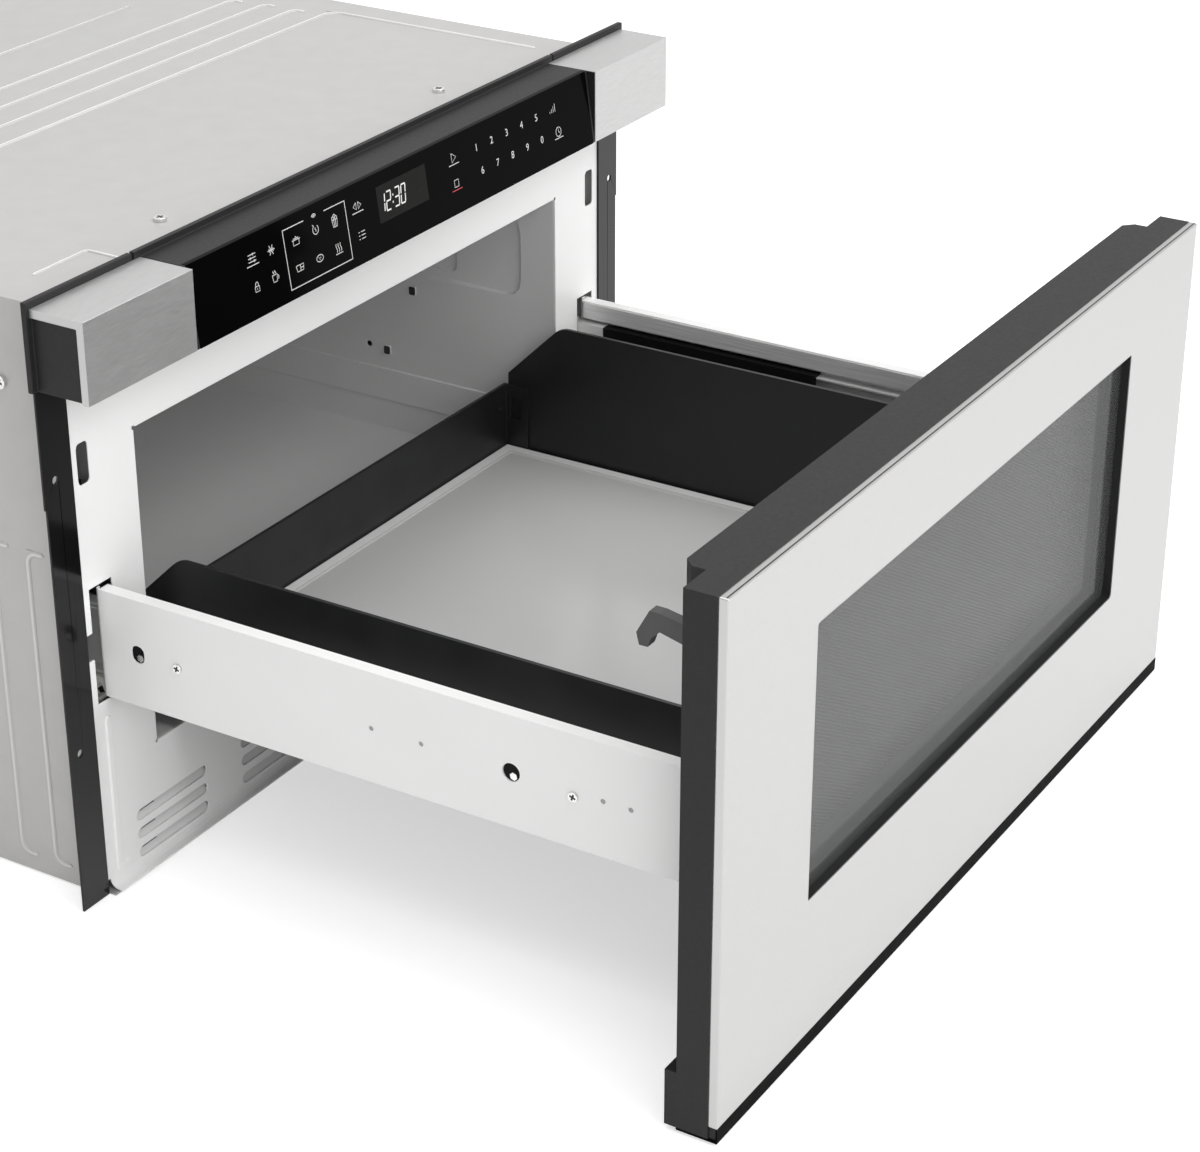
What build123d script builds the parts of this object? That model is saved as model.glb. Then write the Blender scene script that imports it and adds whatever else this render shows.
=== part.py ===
from build123d import *
import math
import os

# Built-in microwave drawer, shown with its drawer run fully out.
# X points right, Y into the cabinet, Z up, all in millimetres. The origin lies on the base,
# on the centre line, in the plane of the kitchen cabinet's face.

# ---------------------------------------------------------------- Driving dimensions

# Overall sizes: the front flange, the case behind it and the drawer's travel
flange_width = 606.4
case_height = 368.4
case_depth = 554.0
travel = 382.8

# How the widths follow from the flange, from its end inward
door_inset = 4.2
edge_width = 22.0
case_inset = 24.2
mouth_inset = 81.5
block_width = 91.5
block_inset = 2.7

# How the heights follow from the case
cavity_headroom = 90.3
rail_drop = 208.4
panel_overlap = 39.8
panel_height = 47.6
flange_rise = 4.0
door_gap = 11.7

# Case
case_sheet = 1.0
case_gap = 0.2
base_sheet = 1.2
base_lip = 6.0
pan_rim = 16.0
pan_rim_front = 14.0
pan_slot_rows = (190.0, 270.0, 350.0)
pan_slot_columns = (40.0, 110.0)
pan_slot = (44.0, 6.0)
bead_width = 3.0
bead_height = 0.5
bead_root = 0.2
bead_rows = ((204.8, 27.0), (229.9, 33.0), (255.5, 33.0), (281.7, 36.0), (333.5, 89.0))
bead_leg_inset = 24.0
bead_leg = (37.4, 209.4)
bead_mark_inset = (34.0, 78.0)
bead_mark = (17.5, 42.0)
bead_end_hook = 9.0
bead_end_hooked_rows = (1, 2, 3)
side_bead_rows = (34.8, 60.5)
side_bead_bottom = 12.5
side_bead_top_gap = 152.4
side_bead_hook = 11.0
top_screw_x = 141.7
top_screw_y = 37.5
side_screw_y = 41.0
side_screw_drop = 50.4
screw_radius = 1.9
screw_hole_gap = 0.15
screw_length = 6.0
screw_head_radius = 4.0
screw_head_height = 2.4

# Back of the case
vent_columns = 10
vent_pitch = 10.0
vent_width = 5.0
vent_length = 34.0
vent_row_offset = 20.0
high_vent_drop = 78.4
cord_hole_radius = 5.0
cord_hole_inset = 54.0
cord_hole_height = 60.0
bush_wall = 2.0
bush_head = 3.0
bush_length = 6.0

# Front plate and its cut-outs
plate_sheet = 1.2
plate_foot = 8.0
plate_lip = 8.2
plate_lip_inset = 6.0
return_depth = 12.0
return_bottom = 20.0
mouth_bottom = 76.9
relief_size = 2.4
rail_slot = (12.8, 6.7)
rail_slot_below = 36.6
rail_slot_above = 36.7
rail_notch = 12.5
rail_notch_below = 7.4
rail_notch_above = 9.5
latch_slot_side_gap = 1.2
latch_slot_below = 10.3
latch_slot_above = 14.5
latch_slot_radius = 2.5
louvre_height = 7.0
louvre_rows = (36.0, 23.5, 11.0)
louvre_insets = ((34.2, 100.1), (134.0, 200.0))
corner_bead_inset = 12.8
corner_bead_width = 4.5
corner_bead_bottom = 9.0
corner_bead_top_gap = 10.4
corner_bead_foot = 13.0
corner_bead_depth = 1.0

# Cooking cavity
cavity_back_gap = 123.0
cavity_sheet = 1.0
recess_front = 28.5
recess_back_gap = 101.0
recess_drop = 18.5
recess_height = 58.2
recess_radius = 12.0
recess_depth = 3.0
lamp_front = 83.5
lamp_back = 135.0
lamp_drop = 35.5
lamp_height = 34.3
lamp_radius = 5.0
lamp_depth = 2.0
lamp_holes = (4, 2)
lamp_hole_pitch = 8.0
lamp_hole_radius = 1.6
rib_front = 40.0
rib_back_gap = 21.0
rib_bottom = 99.4
rib_top = 123.6
rib_height = 1.5
tab_places = ((118.6, 12.8), (142.0, 62.6))
tab_size = (5.0, 6.0)
liner_hole = (158.6, 61.6)
liner_hole_radius = 2.2

# Mounting strips
strip_case_overlap = 3.4
strip_inset = 4.8
strip_sheet = 1.5
strip_step = 1.2
strip_step_drop = 70.6
cabinet_screw_inset = 8.6
cabinet_screw_low = 102.1
cabinet_screw_drop = 55.5
cabinet_screw_radius = 2.25

# Control panel and its end blocks
flange_thickness = 3.5
flange_seam = 6.0
split_gap = 1.6
panel_front = 39.8
panel_slope = 6.6
panel_wall = 2.5
cap_sheet = 0.8
cap_hem = 5.0
cap_overhang = 1.5
control_glass_margin = 2.3
control_glass_thickness = 3.0
board_thickness = 1.6
board_setback = 12.0
relay_places = (-150.0, -120.0, 90.0, 120.0, 150.0)
relay_width = 16.0
relay_height = 16.0
relay_rise = 6.0
display_left = -33.0
display_right = 23.0
display_rise = 15.4
display_height = 27.0
display_gap = 0.4

# Drawer front
door_bottom = 1.5
skin_sheet = 1.0
skin_return = 5.5
trim_height = 9.4
trim_sheet = 1.5
edge_depth = 24.6
block_depth = 38.5
block_bottom = 62.0
block_chamfer = 6.0
foot_height = 37.5
foot_depth = 31.5
window_inset = 94.7
window_bottom = 97.6
window_drop = 55.0
window_radius = 1.5
window_setback = 6.0
window_margin = 8.0
window_glass_thickness = 4.0
screen_setback = 18.0
screen_thickness = 0.6
choke_sheet = 1.2
choke_depth = 8.0
choke_margin = 27.7
choke_rim = 3.0
choke_gap = 0.3

# Rail covers and telescopic slides
cover_inset = 14.5
cover_sheet = 1.2
cover_below = 33.7
cover_above = 34.6
cover_flange = 8.1
cover_return = 3.8
cover_bend = 3.2
cover_back = 2.4
cover_window_y = 28.6
cover_window = (9.0, 11.0, 4.0)
cover_hole_y = 278.0
cover_hole_radius = 5.5
cover_screw_places = ((57.1, -0.5), (316.7, -2.4))
cover_screw_head = 3.0
cover_screw_head_height = 1.6
cover_dimples = (188.6, 221.0, 334.3, 351.0)
cover_dimple_radius = 1.6
cover_dimple_depth = 0.5
slide_sheet = 1.2
carrier_sheet = 1.5
carrier_back_gap = 0.4
carrier_lip = 11.2
carrier_lip_gap = 0.7
carrier_below = 32.0
slide_gap = 0.4
slide_below = 24.0
slide_above = 21.0
slide_inset = 13.9
slide_reach = 8.0
outer_slide_front = 3.0
outer_slide_spare = 42.2
middle_slide_spare = 17.2
middle_slide_lead = 2.4
bracket_sheet = 1.5
bracket_front = 20.0
bracket_margin = 5.0
bracket_slots = (130.0, 260.0)
bracket_slot = (60.0, 20.0)

# Bin
bin_inset = 14.2
bin_wall = 2.5
bin_top_below = 1.3
bin_bottom = 86.0
bin_back = 32.2
bin_back_drop = 49.8
bin_slope_start = -14.0
bin_slope_rise = 7.9
bin_slope_radius = 16.0
bin_wall_gap = 0.9
corner_return = 20.0
corner_sheet = 1.5
corner_step = 3.0
corner_window = (6.0, 14.0)
corner_window_drop = (25.5, 9.5)
rear_hole_inset = 9.0
rear_hole_drop = 15.5
rear_hole_radius = 2.0
pan_sheet = 1.5
pan_gap = 0.2
pan_brace_y = -200.0
pan_brace_half = 120.0
floor_bottom = 91.0
floor_top = 98.2
floor_rim = 9.0
floor_dish = 0.8
floor_gap = 0.4

# Rack and pinion drive
gear_module = 2.5
pressure_angle = 20.0
pinion_teeth = 14
rack_pitch_below = 31.0
rack_top_below = 24.6
rack_back = 42.0
rack_end = 4.0
rack_start = 2.0
rack_front_gap = 8.0
addendum_share = 0.8
dedendum_share = 1.0
backlash = 0.3
pinion_y = 26.0
pinion_width = 7.0
pinion_clearance = 0.4
axle_radius = 4.0
axle_clearance = 0.05
axle_depth = 12.0
boss_wall = 3.0
gearbox_front = 4.0
gearbox_width = 22.5
gearbox_back = 89.0
gearbox_above = 14.5
gearbox_step_below = 25.5
gearbox_step = 60.0
gearbox_foot = 16.0
gearbox_foot_sheet = 4.0
motor_radius = 20.0
motor_length = 72.0
motor_y = 48.0
motor_axis_height = 38.0
motor_boss = (7.0, 6.0)
motor_plate = (60.0, 24.0, 3.0)

# Door latch hooks and the switches that they work
hook_inset = 11.9
hook_width = 7.0
hook_pivot_setback = 7.9
hook_pivot_drop = 45.9
hook_boss_radius = 6.0
hook_pin_radius = 2.5
hook_pin_length = 2.0
hook_pin_end_gap = 0.2
hook_side_gap = 1.0
hook_neck = 24.0
hook_rise = 10.3
hook_reach = 37.4
hook_nose = 6.0
hook_claw = 5.0
hook_drop = 10.0
hook_pocket_below = 16.0
hook_pocket_above = 19.0
hook_pocket_depth = 10.0
latch_plate_inset = 9.6
latch_plate_sheet = 1.5
latch_plate_depth = 46.0
latch_plate_below = 45.0
latch_plate_above = 43.0
latch_plate_flange = 19.5
latch_shelf_front = 34.0
latch_shelf_width = 14.5
switch_front = 10.0
switch_length = 20.0
switch_width = 10.0
switch_height = 12.0
switch_below = 13.0
switch_above = 29.0
lever_size = (5.0, 3.0, 2.2)
lever_front = 13.0

# Duct, stirrer and magnetron
port_y = 220.0
port_radius = 42.0
guide_half_width = 45.0
guide_height = 39.9
guide_back_gap = 18.0
guide_sheet = 1.2
guide_hole_gap = 1.0
stirrer_cover_margin = 28.0
stirrer_cover_sheet = 3.0
stirrer_cover_radius = 14.0
stirrer_rise = 3.0
stirrer_hub = (7.0, 4.0)
stirrer_radius = 37.0
stirrer_blade = (16.0, 1.0)
stirrer_pitch = 12.0
stirrer_blades = 3
stirrer_axle_radius = 3.0
stirrer_axle_depth = 10.0
stirrer_motor_radius = 24.0
stirrer_motor_height = 18.0
stirrer_motor_ears = (64.0, 12.0, 2.0)
magnetron_back = 64.0
magnetron_width = 84.0
magnetron_depth = 72.0
magnetron_height = 74.1
magnetron_yoke = (2.0, 4.0)
magnetron_core = 20.0
magnetron_box = (52.0, 26.0)
fin_count = 6
fin_thickness = 0.8
fin_setback = 4.0
antenna_radius = 8.0
antenna_height = 26.0
antenna_gap = 4.0

# Power supply and cooling
transformer_inset = 119.0
transformer_back = 62.0
transformer_size = (84.0, 52.0, 84.0)
transformer_foot = (108.0, 3.0)
transformer_window = (22.0, 16.0, 70.0)
transformer_limb = 20.0
coil_size = (62.8, 92.0)
coil_heights = ((16.6, 40.0), (44.0, 69.4))
coil_radius = 12.0
coil_gap = 0.3
capacitor_inset = 219.0
capacitor_back = 54.0
capacitor_size = (56.0, 34.0, 88.0)
capacitor_strap = (80.0, 12.0, 2.0)
terminal_spacing = 20.0
terminal_radius = 2.0
terminal_height = 10.0
fan_inset = 109.0
fan_z = 150.0
fan_radius = 52.0
fan_blades = 5
fan_blade_size = (40.0, 1.6, 30.0)
fan_blade_pitch = 22.0
fan_blade_setback = 4.0
fan_blade_depth = 14.0
blade_root = 1.0
fan_hub_radius = 13.0
fan_frame = 124.0
fan_frame_depth = 25.0
fan_frame_radius = 6.0
fan_gap = 3.0
strut_width = 6.0
strut_sheet = 2.0
fan_axle_radius = 2.5
fan_axle_depth = 13.0
fan_motor_size = 56.0
fan_motor_depth = 24.0
lamp_plate = (44.0, 28.0, 1.2)
lamp_socket = (9.0, 11.0)
lamp_bulb = (7.0, 14.0)

# ---------------------------------------------------------------- Places worked out from them

door_half_width = flange_width / 2 - door_inset
block_half_width = door_half_width - edge_width
case_half = flange_width / 2 - case_inset
inner_half = case_half - case_sheet
plate_half = inner_half - case_gap
plate_top = case_height - case_sheet - case_gap
back_inside = case_depth - case_sheet
strip_inner = case_half - strip_case_overlap
strip_outer = flange_width / 2 - strip_inset
cabinet_screw_x = strip_outer - cabinet_screw_inset
block_outer = flange_width / 2 - block_inset
block_inner = block_outer - block_width
flange_split = block_inner + flange_seam
control_glass_half = block_inner - control_glass_margin

panel_bottom = case_height - panel_overlap
panel_top = panel_bottom + panel_height
flange_top = panel_top + flange_rise
display_bottom = panel_bottom + display_rise
display_top = display_bottom + display_height
cabinet_screw_high = panel_bottom - cabinet_screw_drop

mouth_half_width = flange_width / 2 - mouth_inset
mouth_top = case_height - cavity_headroom
cavity_depth = case_depth - cavity_back_gap
liner_outer = mouth_half_width + cavity_sheet
liner_top = mouth_top + cavity_sheet
recess_back = cavity_depth - recess_back_gap
recess_top = mouth_top - recess_drop
recess_bottom = recess_top - recess_height
lamp_top = mouth_top - lamp_drop
lamp_bottom = lamp_top - lamp_height
lamp_y = (lamp_front + lamp_back) / 2
lamp_z = (lamp_bottom + lamp_top) / 2
guide_ceiling = liner_top + guide_height
magnetron_bottom = liner_top - magnetron_height
magnetron_y = case_depth - magnetron_back
guide_back = case_depth - guide_back_gap
transformer_x = -(case_half - transformer_inset)
transformer_y = case_depth - transformer_back
capacitor_x = -(case_half - capacitor_inset)
capacitor_y = case_depth - capacitor_back
fan_x = case_half - fan_inset

door_front = -(panel_front + travel)
door_top = panel_bottom - door_gap
edge_back = door_front + edge_depth
block_back = door_front + block_depth
foot_back = door_front + foot_depth
frame_front = door_front + skin_sheet
window_half_width = door_half_width - window_inset
window_top = door_top - window_drop
window_z = (window_bottom + window_top) / 2
window_height = window_top - window_bottom
window_glass_front = door_front + window_setback
screen_front = door_front + screen_setback
choke_half_width = window_half_width + choke_margin
choke_bottom = window_bottom - choke_margin
choke_top = window_top + choke_margin

rail_height = case_height - rail_drop
cover_bottom = rail_height - cover_below
cover_top = rail_height + cover_above
slide_bottom = rail_height - slide_below
slide_top = rail_height + slide_above
cover_outer = block_half_width - cover_inset
cover_front = block_back
cover_inner = cover_outer - cover_sheet
carrier_inner = cover_inner - carrier_sheet
slide_inner_face = cover_outer - slide_inset
bracket_inner_face = slide_inner_face - bracket_sheet
outer_slide_back = outer_slide_front + travel + outer_slide_spare
middle_slide_length = travel + middle_slide_spare
middle_slide_back = outer_slide_front + middle_slide_lead + middle_slide_length - travel / 2
middle_slide_front = middle_slide_back - middle_slide_length

bin_top = cover_top - bin_top_below
bin_back_top = bin_top - bin_back_drop
bin_half_width = mouth_half_width - bin_inset
bin_inside = bin_half_width - bin_wall
bin_side_back = bin_back - bin_wall - bin_wall_gap

hook_x = block_half_width - hook_inset
hook_pivot_y = block_back - hook_pivot_setback
hook_pivot_z = door_top - hook_pivot_drop
latch_plate_x = hook_x - latch_plate_inset

pinion_radius = gear_module * pinion_teeth / 2
rack_pitch = math.pi * gear_module
rack_pitch_height = rail_height - rack_pitch_below
rack_top = rail_height - rack_top_below
rack_teeth = math.floor((rack_back - block_back - rack_front_gap) / rack_pitch)
pinion_z = rack_pitch_height - pinion_radius


# ---------------------------------------------------------------- Shared shapes

# How far a cut runs past the face that it opens, the flat left at the end of a slot, and the
# edges on beads and discs by how much of them shows
past = 1.0
slot_flat = 0.02
bead_corner_edge_count = 1
small_edge_count = 8
large_edge_count = 24
lamp_edge_count = 6
hidden_corner_edge_count = 1
yoke_edge_count = 8
port_edge_count = 20
shroud_edge_count = 28
fan_edge_count = 30


def block(x, y, z):
    """A box between two limits on each axis, given in either order."""
    centre = ((x[0] + x[1]) / 2, (y[0] + y[1]) / 2, (z[0] + z[1]) / 2)
    return Pos(*centre) * Box(abs(x[1] - x[0]), abs(y[1] - y[0]), abs(z[1] - z[0]))


def along_x(points, x0, x1):
    """A prism whose outline is given as (y, z) points, from x0 to x1."""
    face = make_face(Polyline(*points, close=True))
    return extrude(Plane((x0, 0, 0), x_dir=(0, 1, 0), z_dir=(1, 0, 0)) * face, x1 - x0)


def along_z(points, z0, z1):
    """A prism whose outline is given as (x, y) points, from z0 to z1."""
    face = make_face(Polyline(*points, close=True))
    return extrude(Pos(0, 0, z0) * face, z1 - z0)


def panel_y(shape, x, z, y0, y1):
    """A flat shape that faces the front, centred on (x, z), from y0 to y1."""
    return extrude(Plane((x, y1, z), x_dir=(1, 0, 0), z_dir=(0, -1, 0)) * shape, y1 - y0)


def panel_x(shape, y, z, x0, x1):
    """A flat shape that faces sideways, centred on (y, z), from x0 to x1."""
    low, high = sorted((x0, x1))
    return extrude(Plane((low, y, z), x_dir=(0, 1, 0), z_dir=(1, 0, 0)) * shape, high - low)


def panel_z(shape, x, y, z0, z1):
    """A flat shape that faces up, centred on (x, y), from z0 to z1."""
    return extrude(Pos(x, y, z0) * shape, z1 - z0)


def soft_rectangle(width, height, radius, corner_edges=3):
    """A rectangle whose corners are rounded with few edges, so that repeats stay light."""
    points = []
    for turn, x, y in ((0, 1, 1), (1, -1, 1), (2, -1, -1), (3, 1, -1)):
        for step in range(corner_edges + 1):
            angle = math.pi / 2 * (turn + step / corner_edges)
            points.append((x * (width / 2 - radius) + radius * math.cos(angle),
                           y * (height / 2 - radius) + radius * math.sin(angle)))
    return make_face(Polyline(*points, close=True))


def slot(length, width, corner_edges=2):
    """A slot with softened ends, length along the shape's first axis and width along its second."""
    return soft_rectangle(length, width, (min(length, width) - slot_flat) / 2, corner_edges)


def bead(length):
    """A narrow pressed bead of the case along the shape's first axis, with bevelled ends."""
    return slot(length, bead_width, bead_corner_edge_count)


def upright_bead(length):
    return slot(bead_width, length, bead_corner_edge_count)


def disc(radius, edges=16):
    """A round with few edges, for screws, hidden rods and their clearance holes."""
    return RegularPolygon(radius, edges)


def other_side(shape):
    """The same piece on the other side of the centre line."""
    return mirror(shape, about=Plane.YZ)


def save(name, shape):
    shape.label = name
    export_step(shape, os.path.join("parts", name + ".step"))


def save_pair(name, right_shape):
    save(name + "_right", right_shape)
    save(name + "_left", other_side(right_shape))


# ---------------------------------------------------------------- Case

def outer_case():
    """Top and two sides, one folded sheet with pressed stiffening beads."""
    shell = block((-case_half, case_half), (0, back_inside), (base_sheet / 2, case_height))
    shell -= block((-inner_half, inner_half), (-past, case_depth), (0, case_height - case_sheet))
    low = case_height - bead_root
    high = case_height + bead_height
    for row, (y, inset) in enumerate(bead_rows):
        shell += panel_z(bead(2 * (case_half - inset)), 0, y, low, high)
        if row in bead_end_hooked_rows:
            end_x = case_half - inset - bead_width / 2
            for side in (-1, 1):
                shell += panel_z(upright_bead(bead_end_hook + bead_width), side * end_x,
                                 y - bead_end_hook / 2, low, high)
    leg_length = bead_leg[1] - bead_leg[0]
    shell += panel_z(upright_bead(leg_length), case_half - bead_leg_inset, sum(bead_leg) / 2,
                     low, high)
    mark_outer = -(case_half - bead_mark_inset[0])
    mark_inner = -(case_half - bead_mark_inset[1])
    half_bead = bead_width / 4
    mark_back = (bead_mark[1] - half_bead, bead_mark[1] + half_bead)
    shell += block((mark_outer, mark_inner), mark_back, (low, high))
    shell += block((mark_inner - half_bead, mark_inner + half_bead), bead_mark, (low, high))
    # Side beads in pairs, hooked towards the nearer end of the case.
    bead_foot = side_bead_bottom
    bead_head = case_height - side_bead_top_gap
    for side in (-1, 1):
        faces = (side * (case_half - bead_root), side * (case_half + bead_height))
        for row in side_bead_rows:
            for y, towards in ((row, -1), (case_depth - row, 1)):
                shell += panel_x(upright_bead(bead_head - bead_foot + bead_width), y,
                                 (bead_foot + bead_head) / 2, *faces)
                for z in (bead_foot, bead_head):
                    shell += panel_x(bead(side_bead_hook + bead_width),
                                     y + towards * side_bead_hook / 2, z, *faces)
    hole = disc(screw_radius + screw_hole_gap, small_edge_count)
    for side in (-1, 1):
        shell -= panel_z(hole, side * top_screw_x, top_screw_y,
                         case_height - case_sheet - past, case_height + past)
        shell -= panel_x(hole, side_screw_y, case_height - side_screw_drop,
                         side * (case_half - case_sheet - past), side * (case_half + past))
    return shell


def case_screws():
    """Pan-head screws through the case's top and sides."""
    screws = []
    for side in (-1, 1):
        screw = panel_z(disc(screw_head_radius), side * top_screw_x, top_screw_y,
                        case_height, case_height + screw_head_height)
        screw += panel_z(disc(screw_radius, small_edge_count), side * top_screw_x, top_screw_y,
                         case_height - screw_length, case_height)
        screws.append(screw)
        z = case_height - side_screw_drop
        screw = panel_x(disc(screw_head_radius), side_screw_y, z,
                        side * case_half, side * (case_half + screw_head_height))
        screw += panel_x(disc(screw_radius, small_edge_count), side_screw_y, z,
                         side * (case_half - screw_length), side * case_half)
        screws.append(screw)
    return Compound(children=screws)


def base_pan():
    """Floor of the case, with turned-up sides and a lip that runs under the front plate."""
    lip_half = strip_inner - case_gap
    back = back_inside - case_gap
    pan = block((-plate_half, plate_half), (0, back), (0, base_sheet))
    pan += block((-lip_half, lip_half), (-base_lip, 0), (0, base_sheet))
    for side in (-1, 1):
        pan += block((side * plate_half, side * (plate_half - base_sheet)),
                     (pan_rim_front, back), (0, pan_rim))
    pan += block((-plate_half, plate_half), (back - base_sheet, back), (0, pan_rim))
    for column in pan_slot_columns:
        for x in (-column, column):
            for y in pan_slot_rows:
                pan -= panel_z(slot(*pan_slot, hidden_corner_edge_count), x, y, -past, base_sheet + past)
    return pan


def rear_panel():
    """Back of the case with its air slots and the supply inlet."""
    panel = block((-case_half, case_half), (back_inside, case_depth), (base_sheet / 2, case_height))
    opening = Rectangle(vent_width, vent_length)
    for column in range(vent_columns):
        x = fan_x + (column - (vent_columns - 1) / 2) * vent_pitch
        for z in (fan_z - vent_row_offset, fan_z + vent_row_offset):
            panel -= panel_y(opening, x, z, back_inside - past, case_depth + past)
        panel -= panel_y(opening, -x, case_height - high_vent_drop, back_inside - past, case_depth + past)
    inlet = disc(cord_hole_radius + bush_wall)
    return panel - panel_y(inlet, *bush_place(), back_inside - past, case_depth + past)


def bush_place():
    """Where the cord's bush is, as (x, z)."""
    return -(case_half - cord_hole_inset), cord_hole_height


def cord_grommet():
    """Bush in the back panel that the supply cord would come through."""
    sleeve = disc(cord_hole_radius + bush_wall)
    head = disc(cord_hole_radius + bush_wall + bush_head)
    bush = panel_y(sleeve, *bush_place(), back_inside - bush_length, case_depth + bush_length)
    bush += panel_y(head, *bush_place(), case_depth, case_depth + bush_head)
    bush += panel_y(head, *bush_place(), back_inside - bush_head, back_inside)
    return bush - panel_y(Circle(cord_hole_radius), *bush_place(), back_inside - bush_length - past,
                          case_depth + bush_length + past)


def plate_lip_outline():
    """The foot of the front plate: a sheet that sweeps forward on a quarter turn, as (y, z)."""
    floor = base_sheet + case_gap
    radius = plate_foot - floor
    centre = plate_sheet - radius
    turns = [math.pi / 2 * step / 4 for step in range(5)]
    under = [(centre + radius * math.cos(a), plate_foot - radius * math.sin(a)) for a in turns]
    over = [(centre + (radius - plate_sheet) * math.cos(a), plate_foot - (radius - plate_sheet) * math.sin(a))
            for a in reversed(turns)]
    return under + [(-plate_lip, floor), (-plate_lip, floor + plate_sheet)] + over


def front_plate():
    """White pressed plate round the cavity mouth, with rail, latch and air openings."""
    plate = block((-plate_half, plate_half), (0, plate_sheet), (plate_foot, plate_top))
    plate += along_x(plate_lip_outline(), -plate_half + plate_lip_inset, plate_half - plate_lip_inset)
    plate += block((-plate_half, plate_half), (plate_sheet, return_depth),
                   (plate_top - plate_sheet, plate_top))
    for side in (-1, 1):
        plate += block((side * plate_half, side * (plate_half - plate_sheet)), (plate_sheet, return_depth),
                       (return_bottom, plate_top))
    through = (-past, plate_sheet + past)
    plate -= block((-mouth_half_width, mouth_half_width), through, (mouth_bottom, mouth_top))
    for x in (-mouth_half_width, mouth_half_width):
        for z in (mouth_bottom, mouth_top):
            plate -= panel_y(Rectangle(relief_size, relief_size), x, z, *through)
    for side in (-1, 1):
        slot_inner = side * (cover_outer - rail_slot[0])
        plate -= block((slot_inner, side * (cover_outer + rail_slot[1])), through,
                       (rail_height - rail_slot_below, rail_height + rail_slot_above))
        plate -= block((slot_inner, side * (cover_outer + rail_notch)), through,
                       (rail_height - rail_notch_below, rail_height + rail_notch_above))
        latch_slot = soft_rectangle(hook_width + 2 * latch_slot_side_gap,
                                    latch_slot_below + latch_slot_above, latch_slot_radius)
        plate -= panel_y(latch_slot, side * hook_x,
                         hook_pivot_z + (latch_slot_above - latch_slot_below) / 2, *through)
        for outer, inner in louvre_insets:
            for z in louvre_rows:
                louvre = slot(inner - outer, louvre_height)
                plate -= panel_y(louvre, side * (case_half - (outer + inner) / 2), z, *through)
        # A pressed bead in the shape of a J stiffens each lower corner.
        bead_x = strip_inner - corner_bead_inset
        bead_length = rail_height - rail_slot_below - corner_bead_top_gap - corner_bead_bottom
        plate += panel_y(slot(corner_bead_width, bead_length), side * bead_x,
                         corner_bead_bottom + bead_length / 2, -corner_bead_depth, bead_root)
        foot_x = bead_x + corner_bead_width / 2 - corner_bead_foot / 2
        plate += panel_y(slot(corner_bead_foot, corner_bead_width), side * foot_x,
                         corner_bead_bottom + corner_bead_width / 2, -corner_bead_depth, bead_root)
    return plate


# ---------------------------------------------------------------- Cooking cavity

def cavity_liner():
    """Steel cooking box: five walls, a pressed panel and lamp window in each side, and the port."""
    liner = block((-liner_outer, liner_outer), (plate_sheet, cavity_depth),
                  (mouth_bottom - cavity_sheet, liner_top))
    recess_length = recess_back - recess_front
    lamp_length = lamp_back - lamp_front
    both_skins = 2 * cavity_sheet
    recess_place = ((recess_front + recess_back) / 2, (recess_bottom + recess_top) / 2)
    recess_face = mouth_half_width + recess_depth
    lamp_face = recess_face + lamp_depth
    liner += panel_x(soft_rectangle(recess_length + both_skins, recess_height + both_skins,
                                    recess_radius + cavity_sheet),
                     *recess_place, -recess_face - cavity_sheet, recess_face + cavity_sheet)
    liner += panel_x(soft_rectangle(lamp_length + both_skins, lamp_height + both_skins,
                                    lamp_radius + cavity_sheet),
                     lamp_y, lamp_z, 0, lamp_face + cavity_sheet)
    liner -= block((-mouth_half_width, mouth_half_width), (0, cavity_depth - cavity_sheet),
                   (mouth_bottom, mouth_top))
    liner -= panel_x(soft_rectangle(recess_length, recess_height, recess_radius), *recess_place,
                     -recess_face, recess_face)
    liner -= panel_x(soft_rectangle(lamp_length, lamp_height, lamp_radius), lamp_y, lamp_z, 0, lamp_face)
    columns, rows = lamp_holes
    for column in range(columns):
        for row in range(rows):
            y = lamp_y + (column - (columns - 1) / 2) * lamp_hole_pitch
            z = lamp_z + (row - (rows - 1) / 2) * lamp_hole_pitch
            liner -= panel_x(disc(lamp_hole_radius, lamp_edge_count), y, z,
                             recess_face, lamp_face + cavity_sheet + past)
    # Long pressed rib on each side wall, and small tabs and a screw hole above it on the right.
    for side in (-1, 1):
        liner += block((side * (mouth_half_width + bead_root), side * (mouth_half_width - rib_height)),
                       (rib_front, cavity_depth - rib_back_gap), (rib_bottom, rib_top))
    for y, drop in tab_places:
        liner += panel_x(Rectangle(*tab_size), y, recess_bottom - drop,
                         mouth_half_width - rib_height, mouth_half_width + bead_root)
    liner -= panel_x(disc(liner_hole_radius, small_edge_count), liner_hole[0], recess_bottom - liner_hole[1],
                     mouth_half_width - past, liner_outer + past)
    return liner - panel_z(disc(port_radius, port_edge_count), 0, port_y, mouth_top - past, liner_top + past)


def stirrer_cover():
    """Flat cover under the port, inside the cavity's ceiling."""
    size = 2 * (port_radius + stirrer_cover_margin)
    return panel_z(soft_rectangle(size, size, stirrer_cover_radius), 0, port_y,
                   mouth_top - stirrer_cover_sheet, mouth_top)


def cavity_lamp():
    """Lamp on a base plate, screwed over the side wall's lamp window."""
    face = mouth_half_width + recess_depth + lamp_depth + cavity_sheet
    width, height, sheet = lamp_plate
    socket_end = face + sheet + lamp_socket[1]
    lamp = panel_x(Rectangle(width, height), lamp_y, lamp_z, face, face + sheet)
    lamp += panel_x(disc(lamp_socket[0]), lamp_y, lamp_z, face + sheet, socket_end)
    return lamp + panel_x(disc(lamp_bulb[0]), lamp_y, lamp_z, socket_end, socket_end + lamp_bulb[1])


# ---------------------------------------------------------------- Front mounting and control panel

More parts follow.
